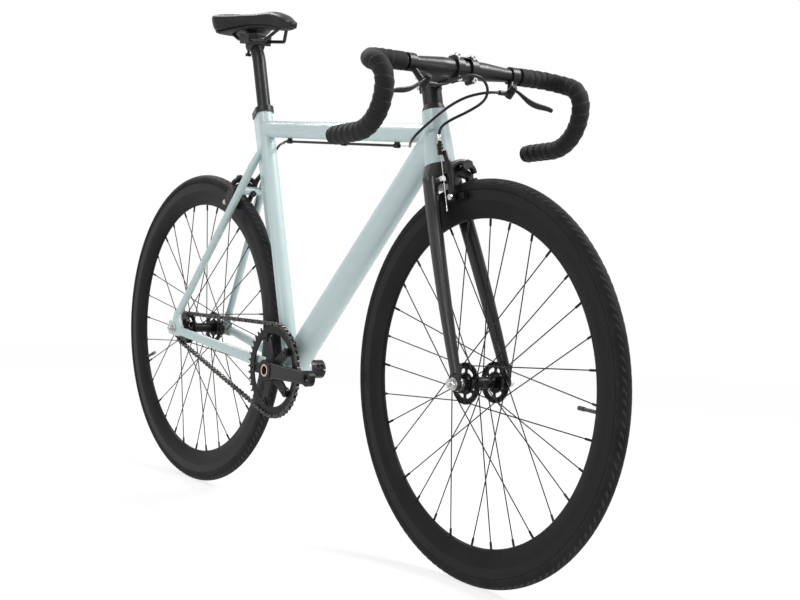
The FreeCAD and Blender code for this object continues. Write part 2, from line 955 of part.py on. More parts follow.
def make_rear_brake_hose():
    """Rear hose from the first guide to the calliper, with bare wire ahead of it."""
    start = hose_line(guide_shares[0])
    wire_end = start + top_tube_way * wire_gap_length
    end, upward = rear_barrel_top()
    points = [start, hose_line(hose_corner_share)]
    points += [V(*place) for place in rear_hose_points]
    points += [end + upward * (brake_barrel_length * hose_barrel_share), end + upward * body_gap]
    line = hose(points, "rear hose", hose_radius)
    bare = rod(start, wire_end, wire_radius)
    return group([line, bare])


def make_rear_brake_hose_loop():
    """Free loop of the rear hose from the left lever round the head tube."""
    end = hose_line(guide_shares[0]) + top_tube_way * (wire_gap_length + wire_radius)
    points = lever_hose_start(1) + [V(*place) for place in rear_loop_points] + [end]
    return hose(points, "rear hose loop", hose_radius)


def make_front_brake_hose():
    """Front hose from the right lever to the front calliper."""
    end, upward = barrel_top(front_brake_frame(), front_brake_standoff)
    points = lever_hose_start(-1) + [V(*place) for place in front_hose_points]
    points += [end + upward * (brake_barrel_length * hose_barrel_share), end + upward * body_gap]
    return hose(points, "front hose", hose_radius)


# Seatpost and saddle

def make_seatpost():
    """Seatpost with a gentle bend to the rear and a cross head under the saddle."""
    straight = Part.LineSegment(post_foot, post_bend_start).toShape()
    half_cos, half_sin = turned(seat_angle - post_bend / 2)
    middle = post_bend_centre - V(-half_sin, 0, -half_cos) * post_bend_radius
    arc = Part.Arc(post_bend_start, middle, post_bend_end).toShape()
    neck = Part.LineSegment(post_bend_end, post_head).toShape()
    wire = Part.Wire([straight, arc, neck])
    head = cross_rod(post_head, post_head_radius, -post_head_half, post_head_half)
    bore = rod(post_foot, post_bend_start, post_radius - post_wall)
    return fused([swept(wire, post_radius), head]).cut(bore)


def on_rail(forward, upward, sideways):
    """Point measured from the middle of the rails along and across them."""
    return rail_middle + rail_forward * forward + rail_up * upward + side * sideways


def rail_route():
    """Corner points of the left rail from its rear socket to the nose."""
    return [
        on_rail(-rail_rear_reach - rail_rear_run, rail_rear_rise, rail_half_spread * 1.15),
        on_rail(-rail_rear_reach, 0, rail_half_spread),
        on_rail(rail_front_reach, 0, rail_half_spread),
        on_rail(rail_front_reach + rail_front_run, rail_front_rise, rail_nose_half),
    ]


def bent_wire(points, bend):
    """Straight runs joined by arcs of one radius."""
    edges = []
    last = points[0]
    for index in range(1, len(points) - 1):
        corner = points[index]
        back = points[index - 1] - corner
        ahead = points[index + 1] - corner
        half_turn = (math.pi - back.getAngle(ahead)) / 2
        cut = bend * math.tan(half_turn)
        start = corner + unit(back) * cut
        end = corner + unit(ahead) * cut
        inward = unit(unit(back) + unit(ahead))
        middle = corner + inward * (bend / math.cos(half_turn) - bend)
        edges.append(Part.LineSegment(last, start).toShape())
        edges.append(Part.Arc(start, middle, end).toShape())
        last = end
    edges.append(Part.LineSegment(last, points[-1]).toShape())
    return Part.Wire(edges)


def make_saddle_rails():
    """Pair of bent rails under the saddle."""
    rail = swept(bent_wire(rail_route(), rail_bend), rail_radius)
    return group([rail, mirrored(rail)])


def make_saddle_clamp():
    """Cradle that sits on the post head and grips both rails, with its rear bolt."""
    head_gap = post_head_radius + running_gap
    top = post_head_radius + cradle_cap
    start = post_head - rail_forward * cradle_half_length - side * cradle_half_width
    block = Part.makeBox(2 * cradle_half_length, 2 * cradle_half_width, top)
    block.rotate(V(0, 0, 0), side, rail_slope)
    block.translate(start)
    head_reach = post_head_half + body_gap
    block = block.cut(cross_rod(post_head, head_gap, -head_reach, head_reach))
    neck_clear = post_radius + body_gap * 4
    block = block.cut(rod(post_head - post_lean * (post_neck + overrun), post_head, neck_clear))
    for sign in (1, -1):
        groove = rod(
            on_rail(-rail_rear_reach, 0, sign * rail_half_spread),
            on_rail(rail_front_reach, 0, sign * rail_half_spread), rail_radius + seat_gap,
        )
        block = block.cut(groove)
    bolt_top = post_head - rail_forward * cradle_bolt_back + rail_up * top
    bolt_foot = bolt_top - rail_up * cradle_bolt_length
    ear = rod(
        bolt_top - rail_up * (cradle_cap + cradle_wall), bolt_top, cradle_bolt_head + cradle_wall / 2,
    )
    cradle = fused([block, ear]).cut(rod(bolt_foot, bolt_top, cradle_bolt_radius))
    bolt = fused([
        rod(bolt_foot, bolt_top, cradle_bolt_radius),
        rod(bolt_foot, bolt_foot + rail_up * cradle_bolt_head, cradle_bolt_head),
    ])
    return group([cradle, bolt])


def saddle_place(share):
    """Point on the underside plane of the saddle at a share of its length from the rear."""
    nose = rail_middle + V(saddle_nose_forward, 0, 0)
    drop = math.tan(math.radians(saddle_tilt)) * saddle_length * share
    return V(nose.x - saddle_length * (1 - share), 0, rail_middle.z + saddle_rear_rise - drop)


def saddle_sections():
    """Place, half width, belly and top height of each saddle section."""
    rows = zip(saddle_station_shares, saddle_width_shares, saddle_rise_shares, saddle_belly_shares)
    for station, width, rise, belly in rows:
        place = saddle_place(station)
        yield place, saddle_half_width * width, saddle_depth * belly, saddle_depth * rise


def cover_section(place, half, belly, top):
    """Section of the padded cover: flat belly, drawn in sides and a crowned top."""
    low = place + V(0, 0, belly)
    shoulder = place + V(0, 0, belly + (top - belly) * saddle_shoulder_height_share)
    high = place + V(0, 0, top - saddle_crown * half / saddle_half_width)
    crest = place + V(0, 0, top)
    flank = half * saddle_side_share
    foot = half * saddle_base_share
    edges = [
        Part.LineSegment(low - side * foot, low + side * foot).toShape(),
        Part.Arc(low + side * foot, shoulder + side * half, high + side * flank).toShape(),
        Part.Arc(high + side * flank, crest, high - side * flank).toShape(),
        Part.Arc(high - side * flank, shoulder - side * half, low - side * foot).toShape(),
    ]
    return Part.Wire(edges)


def make_saddle_cover():
    """Padded saddle top, wide and raised at the rear, slim at the nose."""
    return lofted([cover_section(*section) for section in saddle_sections()])


def make_saddle_base():
    """Thin moulded base under the padding that holds the rails."""
    sections = []
    for place, half, belly, top in saddle_sections():
        reach = half * saddle_base_share
        high = place + V(0, 0, belly - seat_gap)
        low = high - V(0, 0, saddle_base_thickness)
        corners = [low - side * reach, low + side * reach, high + side * reach, high - side * reach]
        sections.append(Part.makePolygon(corners + corners[:1]))
    cover = make_saddle_cover()
    cover.translate(V(0, 0, -seat_gap))
    base = lofted(sections, True).cut(cover)
    for solid in make_saddle_rails().Solids:
        base = base.cut(solid)
    return largest(base)


# Fork, headset and steering

def crown_section(drop, half_length, half_width):
    """Oval section of the fork crown at a distance below the head tube."""
    centre = head_foot - head_up * drop
    if half_width > half_length:
        return oval(centre, side, head_forward, half_width, half_length)
    return oval(centre, head_forward, side, half_length, half_width)


def make_fork_crown():
    """Fork crown with the steerer that runs up through the head tube to the stem."""
    top = crown_section(body_gap, head_tube_foot_radius, head_tube_foot_radius * 0.999)
    waist = crown_section(crown_height * crown_waist_share, crown_half_length, crown_half_width)
    foot = crown_section(crown_height, crown_foot_half, crown_shoulder_half)
    crown = lofted([top, waist, foot], True)
    steerer_top = stem_foot + head_up * stem_height
    steerer = rod(head_foot - head_up * crown_height * 0.5, steerer_top, steerer_radius)
    bore = rod(head_foot, steerer_top, steerer_radius - steerer_wall)
    origin, across, upward, outward = front_brake_frame()
    reach = head_tube_foot_radius * 2
    hole = rod(origin - outward * reach, origin + outward * reach, brake_bolt_radius + seat_gap)
    tyre_room = cross_rod(
        front_centre, wheel_radius + tyre_width * 0.3, -tyre_width * 0.8, tyre_width * 0.8,
    )
    crown = fused([crown, steerer]).cut(bore).cut(hole).cut(tyre_room)
    for blade in (fork_blade_body(), mirrored(fork_blade_body())):
        crown = crown.cut(blade)
    return largest(crown)


def fork_blade_body():
    """Left fork blade with its flat fork end."""
    root = head_foot - head_up * blade_root_drop
    root = root + side * (crown_shoulder_half - blade_root_width)
    inner = front_hub_width / 2
    tip = front_centre + V(0, inner + fork_end_thickness / 2, blade_tip_rise)
    middle = root + (tip - root) * blade_mid_share + side * blade_mid_bow
    way = unit(tip - root)
    forward = unit(V(-way.z, 0, way.x)) * -1
    across = unit(way.cross(forward))
    blade = lofted([
        oval(root, forward, across, blade_root_half, blade_root_width),
        oval(middle, forward, across, blade_mid_half, blade_mid_width),
        oval(tip, forward, across, blade_tip_half, blade_tip_width),
    ])
    plate = cross_rod(front_centre, fork_end_radius, inner, inner + fork_end_thickness)
    web = Part.makeBox(
        2 * fork_end_radius * 0.9, fork_end_thickness, fork_end_length,
        V(front_centre.x - fork_end_radius * 0.9, inner, front_centre.z),
    )
    end = fused([blade, plate, web])
    slot_half = front_axle_radius + seat_gap
    slot = cross_rod(front_centre, slot_half, inner - overrun, inner + fork_end_thickness + overrun)
    mouth = Part.makeBox(
        2 * slot_half, fork_end_thickness + 2 * overrun, fork_end_radius + overrun,
        V(front_centre.x - slot_half, inner - overrun, front_centre.z - fork_end_radius - overrun),
    )
    inside = Part.makeBox(
        4 * fork_end_radius, fork_end_radius, fork_end_length + fork_end_radius,
        V(front_centre.x - 2 * fork_end_radius, inner - fork_end_radius, front_centre.z - fork_end_radius),
    )
    return end.cut(slot).cut(mouth).cut(inside)


def make_fork_blades():
    """Both fork blades, closed at the crown."""
    blade = fork_blade_body()
    return group([blade, mirrored(blade)])


def make_headset_spacers():
    """Conical headset cover, spacer and top cap round the steerer."""
    bore_radius = steerer_radius + seat_gap
    cover_foot = head_top + head_up * body_gap
    cover_head = cover_foot + head_up * head_cover_height
    cover = taper(cover_foot, cover_head, head_tube_top_radius, head_cover_top_radius)
    cover = cover.cut(rod(cover_foot, cover_head, bore_radius))
    spacer_foot = cover_head
    spacer = sleeve(spacer_foot, stem_foot, spacer_radius, bore_radius)
    cap_foot = stem_foot + head_up * stem_height
    cap = rod(cap_foot, cap_foot + head_up * top_cap_height, stem_clamp_radius)
    socket = rod(
        cap_foot + head_up * (top_cap_height * 0.5), cap_foot + head_up * (top_cap_height + overrun),
        steerer_wall,
    )
    return group([cover, spacer, cap.cut(socket)])


def faceplate_box():
    """Half space ahead of the joint between stem and faceplate."""
    size = 4 * stem_face_radius
    box = Part.makeBox(size, size, size, V(stem_split / 2, -size / 2, -size / 2))
    box.rotate(V(0, 0, 0), side, -stem_angle)
    box.translate(bar_centre)
    return box


def stem_bolt_points():
    """Centres of the four faceplate bolts on the split plane."""
    for across in (-1, 1):
        for rise in (-1, 1):
            yield bar_centre + side * (across * stem_bolt_place) + stem_rise * (rise * stem_bolt_rise)


def face_ring():
    """Ring round the handlebar with an ear for each bolt, before it is split."""
    start = bar_centre - side * stem_face_half
    end = bar_centre + side * stem_face_half
    pieces = [rod(start, end, stem_face_radius)]
    for point in stem_bolt_points():
        depth = stem_way * stem_ear_depth
        pieces.append(rod(point - depth, point + depth, stem_ear_radius))
    ring = fused(pieces)
    bore = rod(start - side * overrun, end + side * overrun, bar_centre_radius + seat_gap)
    return ring.cut(bore)


def make_stem():
    """Stem with a clamp on the steerer and the rear half of the bar clamp."""
    head = stem_foot + head_up * stem_height
    clamp = rod(stem_foot, head, stem_clamp_radius)
    root = stem_middle
    tip = bar_centre - stem_way * (bar_centre_radius + seat_gap)
    neck = lofted([
        oval(root, stem_rise, side, stem_neck_half * 1.1, stem_neck_width * 1.1),
        oval(tip, side, stem_rise, stem_face_half * 0.9, stem_neck_half),
    ])
    lug = Part.makeBox(stem_clamp_radius, stem_clamp_radius, stem_height)
    lug.translate(V(-stem_clamp_radius, -stem_clamp_radius / 2, 0))
    lug.rotate(V(0, 0, 0), side, -(right_angle - head_angle))
    lug.translate(stem_foot - head_forward * (pinch_bolt_head * 0.9))
    rear_half = face_ring().cut(faceplate_box())
    body = fused([clamp, neck, lug, rear_half])
    bar_room = rod(
        bar_centre - side * (stem_face_half + overrun), bar_centre + side * (stem_face_half + overrun),
        bar_centre_radius + seat_gap,
    )
    body = body.cut(bar_room).cut(rod(stem_foot, head, steerer_radius + seat_gap))
    slot = Part.makeBox(stem_clamp_radius * 2, pinch_slot, stem_height + 2 * overrun)
    slot.translate(V(-stem_clamp_radius * 2, -pinch_slot / 2, -overrun))
    slot.rotate(V(0, 0, 0), side, -(right_angle - head_angle))
    slot.translate(stem_foot - head_forward * steerer_wall)
    body = body.cut(slot)
    for bolt in make_stem_bolts().Solids:
        body = body.cut(bolt)
    return largest(body)


def make_stem_faceplate():
    """Front half of the bar clamp, open in the middle so that it forms two straps."""
    plate = face_ring().common(faceplate_box())
    reach = 2 * stem_face_radius
    window = Part.makeBox(
        reach, 2 * strap_window_half, 2 * stem_face_radius * math.sin(math.radians(strap_window_turn)),
    )
    window.translate(V(0, -strap_window_half, -stem_face_radius * math.sin(math.radians(strap_window_turn))))
    window.rotate(V(0, 0, 0), side, -stem_angle)
    window.translate(bar_centre)
    plate = plate.cut(window)
    for bolt in make_stem_bolts().Solids:
        plate = plate.cut(bolt)
    return plate


def make_stem_bolts():
    """Four faceplate bolts and two pinch bolts behind the steerer."""
    bolts = []
    for point in stem_bolt_points():
        head_end = point + stem_way * (stem_ear_depth + stem_bolt_head_height)
        head_foot_place = point + stem_way * stem_ear_depth
        shank_end = point - stem_way * (stem_ear_depth * 0.8)
        socket = rod(
            head_foot_place + stem_way * (stem_bolt_head_height * 0.4), head_end + stem_way * overrun,
            stem_bolt_radius * 0.8,
        )
        bolt = fused([
            rod(shank_end, head_foot_place, stem_bolt_radius), rod(head_foot_place, head_end, stem_bolt_head),
        ])
        bolts.append(bolt.cut(socket))
    for share in (0.26, 0.74):
        behind = stem_clamp_radius + pinch_bolt_head * 0.4
        place = stem_foot + head_up * (stem_height * share) - head_forward * behind
        start = place - side * (stem_clamp_radius / 2)
        end = place + side * (stem_clamp_radius / 2)
        shank = rod(start, end, pinch_bolt_radius)
        bolts.append(fused([shank, rod(start - side * pinch_bolt_head, start, pinch_bolt_head)]))
    return group(bolts)


def bar_edges():
    """Left half of the bar's centre line from mid bar to the end of the drop."""
    lean_cos_value, lean_sin_value = turned(corner_drop)
    corner_way = V(lean_cos_value, 0, -lean_sin_value)
    corner_start = bar_centre + side * (bar_half_width - corner_radius)
    corner_middle_point = corner_start + corner_way * corner_radius
    corner_end = corner_middle_point + side * corner_radius
    diagonal = math.sqrt(0.5) * corner_radius
    corner_bow = corner_middle_point + side * diagonal - corner_way * diagonal
    below = V(-lean_sin_value, 0, -lean_cos_value)
    upper_centre = corner_end + below * hook_upper_radius
    front = upper_centre + V(hook_upper_radius, 0, 0)
    bow_cos, bow_sin = turned((right_angle - corner_drop) / 2)
    upper_bow = upper_centre + V(bow_cos, 0, bow_sin) * hook_upper_radius
    lower_centre = front - V(hook_lower_radius, 0, 0)
    low_cos, low_sin = turned(-(right_angle - drop_slope))
    low_end = lower_centre + V(low_cos, 0, low_sin) * hook_lower_radius
    mid_cos, mid_sin = turned(-(right_angle - drop_slope) / 2)
    low_bow = lower_centre + V(mid_cos, 0, mid_sin) * hook_lower_radius
    slope_cos, slope_sin = turned(drop_slope)
    bar_end = low_end - V(slope_cos, 0, slope_sin) * drop_straight
    return [
        Part.LineSegment(bar_centre, corner_start).toShape(),
        Part.Arc(corner_start, corner_bow, corner_end).toShape(),
        Part.Arc(corner_end, upper_bow, front).toShape(),
        Part.Arc(front, low_bow, low_end).toShape(),
        Part.LineSegment(low_end, bar_end).toShape(),
    ]


def on_bar(length):
    """Point and direction on the left half of the bar, by length from its middle."""
    left = length
    edges = bar_edges()
    for edge in edges:
        if left <= edge.Length or edge is edges[-1]:
            parameter = edge.getParameterByLength(min(left, edge.Length))
            return edge.valueAt(parameter), edge.tangentAt(parameter)
        left -= edge.Length


def bar_length():
    """Length of the left half of the bar."""
    return sum(edge.Length for edge in bar_edges())


def make_handlebar():
    """Drop bar, thick at the stem, tapering to the lever clamps and hollow."""
    outer = swept(Part.Wire(bar_edges()), bar_end_radius)
    cone = taper(
        bar_centre + side * bar_centre_half, bar_centre + side * bar_taper_end,
        bar_centre_radius, bar_end_radius,
    )
    half = fused([outer, cone, rod(bar_centre, bar_centre + side * bar_centre_half, bar_centre_radius)])
    inner = swept(Part.Wire(bar_edges()), bar_end_radius - bar_wall)
    half = half.cut(inner)
    return fused([half, mirrored(half)])


def make_bar_tape():
    """Padded tape wound on each drop, with a step at every overlap."""
    start = tape_start
    end = bar_length()
    wrap = (end - start) / tape_wraps
    sections = []
    for turn in range(tape_wraps):
        for share, height in ((0, tape_low), (tape_rise_share, tape_high),
                              (tape_top_share, tape_high), (1 - tape_fall_share, tape_low)):
            point, way = on_bar(start + wrap * (turn + share))
            sections.append(tape_circle(point, way, bar_end_radius + height))
    point, way = on_bar(end)
    sections.append(tape_circle(point, way, bar_end_radius + tape_low))
    sleeve_form = lofted(sections, True)
    bore = swept(Part.Wire(bar_edges()), bar_end_radius + seat_gap)
    bore_end = rod(point - way * overrun, point + way * overrun, bar_end_radius + seat_gap)
    tape = sleeve_form.cut(bore).cut(bore_end)
    return group([tape, mirrored(tape)])


def tape_circle(point, way, radius):
    """Circle square to the bar that starts on the same side everywhere."""
    circle = Part.Circle(point, way, radius)
    return Part.Wire([circle.toShape()])


def make_bar_end_plugs():
    """Plug in each end of the bar."""
    point, way = on_bar(bar_length())
    cap_start = point + way * seat_gap
    cap = rod(cap_start, cap_start + way * plug_cap, plug_radius)
    core = rod(point - way * plug_insert, cap_start, bar_end_radius - bar_wall - seat_gap)
    plug = fused([cap, core])
    edge = [item for item in plug.Edges if abs(item.Length - 2 * math.pi * plug_radius) < seat_gap]
    plug = plug.makeFillet(plug_cap * 0.6, edge[-1:])
    return group([plug, mirrored(plug)])


# Brake levers

def lever_axis():
    """Direction of the lever pivot, across the pull of the lever."""
    return unit(V(lever_drop, 0, lever_forward))


def lever_pivot():
    """Pivot of the left lever."""
    return bar_centre + V(lever_forward, lever_pivot_place, -lever_drop)


def lever_barrel_end(sign):
    """Inner end of a lever's barrel, where its hose starts."""
    pivot = lever_pivot()
    place = pivot - lever_axis() * (lever_hub_half + body_gap + lever_block_length / 2)
    end = place - side * (lever_block_radius + lever_barrel_reach)
    return V(end.x, end.y * sign, end.z)


def lever_hose_start(sign):
    """First two points of a hose, inside the lever's barrel and straight out of it."""
    end = lever_barrel_end(sign)
    inside = end + side * (sign * lever_barrel_reach * hose_socket_share)
    outside = end - side * (sign * lever_barrel_reach * hose_lead_share)
    return [inside, outside]


def make_lever_clamps():
    """Clamp band, knuckle, pivot pin and cable barrel of each lever."""
    ring_start = bar_centre + side * (lever_clamp_place - lever_clamp_width / 2)
    ring_end = ring_start + side * lever_clamp_width
    middle = bar_centre + side * lever_clamp_place
    bore_radius = bar_end_radius + seat_gap
    ring = rod(ring_start, ring_end, bar_end_radius + lever_clamp_wall)
    pivot = lever_pivot()
    axis = lever_axis()
    block_head = pivot - axis * (lever_hub_half + body_gap)
    block_foot = block_head - axis * lever_block_length
    block = rod(block_foot, block_head, lever_block_radius)
    block_middle = (block_head + block_foot) * 0.5
    neck = rod(middle, block_head - axis * (lever_block_length * lever_neck_share), lever_neck_radius)
    barrel_end = lever_barrel_end(1)
    barrel = rod(block_middle, barrel_end, lever_barrel_radius)
    tip = pivot + axis * (lever_hub_half + body_gap)
    pin = rod(block_middle, tip, lever_pin_radius)
    head = rod(tip, tip + axis * lever_pin_radius, lever_hub_radius * 0.8)
    bore = rod(ring_start - side * lever_clamp_width, ring_end + side * overrun, bore_radius)
    socket_foot = barrel_end + side * (lever_barrel_reach * hose_socket_share + seat_gap)
    socket = rod(barrel_end - side * overrun, socket_foot, hose_radius + seat_gap)
    clamp = fused([ring, neck, block, barrel, pin, head]).cut(bore).cut(socket)
    return group([clamp, mirrored(clamp)])


def lever_body():
    """Left brake lever: hub on the pivot pin and a curved blade that reaches outwards."""
    pivot = lever_pivot()
    axis = lever_axis()
    pull = unit(V(-lever_drop, 0, lever_forward))
    hub = rod(pivot - axis * lever_hub_half, pivot + axis * lever_hub_half, lever_hub_radius)
    sections = []
    rows = zip(
        blade_station_shares, blade_forward_shares, blade_drop_shares, blade_half_shares,
        blade_thick_shares,
    )
    for station, forward, drop, half, thick in rows:
        centre = pivot + V(forward, station, -drop) * blade_length
        sections.append(oval(centre, axis, pull, half * blade_length, thick * blade_length))
    bore = rod(
        pivot - axis * (lever_hub_half + overrun), pivot + axis * (lever_hub_half + overrun),
        lever_pin_radius + running_gap,
    )
    return fused([hub, lofted(sections)]).cut(bore)


# Brake callipers

def at_brake(frame, across, upward, outward):
    """Point in a calliper's own directions."""
    origin, side_way, up_way, out_way = frame
    return origin + side_way * across + up_way * upward + out_way * outward


def arm_link(frame, start, end, low, high):
    """Flat link with round ends between two places given as across, up and half width."""
    across = end[0] - start[0]
    upward = end[1] - start[1]
    length = math.hypot(across, upward)
    normal = (-upward / length, across / length)
    corners = []
    for place, sign in ((start, 1), (start, -1), (end, -1), (end, 1), (start, 1)):
        reach = sign * place[2]
        corners.append(at_brake(frame, place[0] + normal[0] * reach, place[1] + normal[1] * reach, low))
    plate = Part.Face(Part.makePolygon(corners)).extrude(frame[3] * (high - low))
    discs = []
    for place in (start, end):
        foot = at_brake(frame, place[0], place[1], low)
        discs.append(rod(foot, foot + frame[3] * (high - low), place[2]))
    return [plate] + discs


def arm_levels(standoff):
    """Start and end of the inner arm, the outer arm and the bracket, outwards from the frame."""
    inner = standoff
    inner_end = inner + brake_arm_thickness
    outer = inner_end + brake_arm_space
    outer_end = outer + brake_arm_thickness
    bracket = outer_end + body_gap
    return inner, inner_end, outer, outer_end, bracket, bracket + bracket_thickness


def barrel_level(standoff):
    """Distance outwards of the brake wire."""
    inner, inner_end, outer, outer_end, bracket, bracket_end = arm_levels(standoff)
    return inner_end + running_gap + wire_radius


def barrel_top(frame, standoff):
    """Top of the calliper's barrel and the direction out of it."""
    rise = brake_barrel_rise + brake_barrel_length
    return at_brake(frame, -brake_barrel_side, rise, barrel_level(standoff)), frame[2]


def outer_arm(frame, standoff):
    """Arm on the side of the wire: barrel at the top, side pivot, pad seat at the bottom."""
    inner, inner_end, outer, outer_end, bracket, bracket_end = arm_levels(standoff)
    barrel = (-brake_barrel_side, brake_barrel_rise, brake_arm_half)
    shoulder = (-brake_shoulder_side, brake_shoulder_rise, brake_arm_half)
    elbow = (-brake_elbow_side, -brake_elbow_drop, brake_arm_tip)
    foot = (-brake_pad_arm_side, -brake_reach, brake_arm_tip)
    pivot = (brake_side_pivot, brake_side_pivot_rise, brake_hub_radius)
    pieces = []
    for start, end in ((barrel, shoulder), (shoulder, elbow), (elbow, foot), (shoulder, pivot)):
        pieces += arm_link(frame, start, end, outer, outer_end)
    level = barrel_level(standoff)
    barrel_foot = at_brake(frame, -brake_barrel_side, brake_barrel_rise - brake_arm_half, level)
    barrel_head = barrel_top(frame, standoff)[0]
    pieces.append(rod(barrel_foot, barrel_head, brake_barrel_radius))
    arm = fused(pieces)
    wire_foot = at_brake(frame, -brake_barrel_side, -brake_barrel_rise, level)
    arm = arm.cut(rod(wire_foot, barrel_head, brake_barrel_bore))
    arm = arm.cut(brake_hole(frame, brake_side_pivot, brake_side_pivot_rise, outer, outer_end, running_gap))
    return arm.cut(pad_bolt_hole(frame, -1, outer, outer_end))


def inner_arm(frame, standoff):
    """Arm that turns on the centre bolt: wire anchor on one side, pad seat on the other."""
    inner, inner_end, outer, outer_end, bracket, bracket_end = arm_levels(standoff)
    anchor = (-brake_anchor_side, -brake_anchor_drop, brake_arm_tip)
    centre = (0, 0, brake_hub_radius)
    shoulder = (brake_elbow_side, -brake_side_pivot_rise, brake_arm_half)
    elbow = (brake_elbow_side, -brake_elbow_drop, brake_arm_tip)
    foot = (brake_pad_arm_side, -brake_reach, brake_arm_tip)
    pieces = []
    for start, end in ((anchor, centre), (centre, shoulder), (shoulder, elbow), (elbow, foot)):
        pieces += arm_link(frame, start, end, inner, inner_end)
    pieces += arm_link(frame, elbow, foot, inner, outer_end)
    arm = fused(pieces)
    arm = arm.cut(brake_hole(frame, 0, 0, inner, inner_end, running_gap))
    arm = arm.cut(pad_bolt_hole(frame, 1, inner, outer_end))
    bolt_foot = at_brake(frame, -brake_anchor_side, -brake_anchor_drop, inner_end)
    head = rod(bolt_foot, bolt_foot + frame[3] * brake_anchor_height, brake_anchor_head)
    level = barrel_level(standoff)
    wire_top = at_brake(frame, -brake_barrel_side, brake_barrel_rise, level)
    wire_foot = at_brake(frame, -brake_barrel_side, -brake_anchor_drop - wire_tail, level)
    tip = rod(wire_foot, wire_foot + frame[2] * wire_tip_length, wire_tip_radius)
    wire = fused([rod(wire_foot, wire_top, wire_radius), tip])
    return group([arm, head.cut(wire), wire])


def brake_hole(frame, across, upward, low, high, gap):
    """Round hole for a brake pivot."""
    start = at_brake(frame, across, upward, low - overrun)
    end = at_brake(frame, across, upward, high + overrun)
    return rod(start, end, brake_bolt_radius + gap)


def pad_level(low, high):
    """Distance outwards of the pad bolt in an arm."""
    return high - brake_arm_thickness / 2 if high > low else low


def pad_bolt_hole(frame, sign, low, high):
    """Hole across the foot of an arm for the pad bolt."""
    level = pad_level(low, high)
    start = at_brake(frame, 0, -brake_reach, level)
    face = at_brake(frame, sign * (brake_pad_arm_side + brake_arm_tip), -brake_reach, level)
    end = at_brake(frame, sign * brake_pad_arm_side * 2, -brake_reach, level)
    hole = rod(start, end, pad_bolt_radius + seat_gap)
    return fused([hole, rod(face, end, pad_bolt_head + seat_gap)])


def make_brake_pad(frame, standoff, wheel, sign):
    """Brake block, its holder and its bolt on one side of the rim."""
    inner, inner_end, outer, outer_end, bracket, bracket_end = arm_levels(standoff)
    level = pad_level(outer, outer_end)
    centre = at_brake(frame, 0, -brake_reach, level)
    out = frame[1] * sign
    radial = V(centre.x - wheel.x, 0, centre.z - wheel.z)
    radial = unit(radial)
    track = rim_shoulder_radius + (rim_edge_radius - rim_shoulder_radius) * pad_track_share
    middle = wheel + radial * track
    along = V(-radial.z, 0, radial.x)
    face = rim_width / 2 + pad_gap
    pad_start = middle + out * face
    holder_start = pad_start + out * (pad_thickness + seat_gap)
    pad = Part.Face(
        round_box(pad_start, along, radial, pad_half_length, pad_half_height, pad_half_height * 0.6)
    ).extrude(out * pad_thickness)
    holder_half = pad_half_height * 1.1
    holder = Part.Face(
        round_box(holder_start, along, radial, pad_half_length * 0.96, holder_half, pad_half_height * 0.6)
    ).extrude(out * pad_holder_thickness)
    bolt_start = centre + out * (face + pad_thickness + seat_gap)
    arm_face = centre + out * (brake_pad_arm_side + brake_arm_tip + seat_gap)
    shank = rod(bolt_start, arm_face, pad_bolt_radius)
    head = rod(arm_face, arm_face + out * pad_bolt_head_height, pad_bolt_head)
    return group([pad, fused([holder, shank, head])])


def make_brake_bolt(frame, standoff, back_reach):
    """Centre bolt of a calliper, with the bracket and pin of the side pivot."""
    inner, inner_end, outer, outer_end, bracket, bracket_end = arm_levels(standoff)
    back = at_brake(frame, 0, 0, -back_reach)
    bracket_place = at_brake(frame, 0, 0, bracket_end)
    front = at_brake(frame, 0, 0, bracket_end + brake_bolt_head_height)
    shank = rod(back, bracket_place, brake_bolt_radius)
    head = rod(bracket_place, front, brake_bolt_head)
    nut = rod(back - frame[3] * brake_bolt_head_height, back, brake_bolt_head)
    spacer = rod(
        at_brake(frame, 0, 0, standoff - body_gap - brake_bolt_head_height),
        at_brake(frame, 0, 0, standoff - body_gap), brake_bolt_head,
    )
    centre = (0, 0, brake_arm_tip)
    pivot = (brake_side_pivot, brake_side_pivot_rise, brake_arm_tip)
    links = arm_link(frame, centre, pivot, bracket, bracket_end)
    pin_start = at_brake(frame, brake_side_pivot, brake_side_pivot_rise, outer - brake_arm_space / 2)
    pin_end = at_brake(frame, brake_side_pivot, brake_side_pivot_rise, bracket_end)
    pin = rod(pin_start, pin_end, brake_bolt_radius)
    return fused([shank, head, nut, spacer, pin] + links)


# Wheels

def wheel_point(centre, across, radius):
    """Point of a wheel section at a side distance and a radius."""
    return V(centre.x + radius, across, centre.z)


def section_wire(centre, pieces):
    """Closed section from line and arc pieces given as places of side distance and radius."""
    edges = []
    for piece in pieces:
        points = [wheel_point(centre, across, radius) for across, radius in piece]
        if len(points) == 2:
            edges.append(Part.LineSegment(points[0], points[1]).toShape())
        else:
            edges.append(Part.Arc(points[0], points[1], points[2]).toShape())
    return Part.Wire(edges)


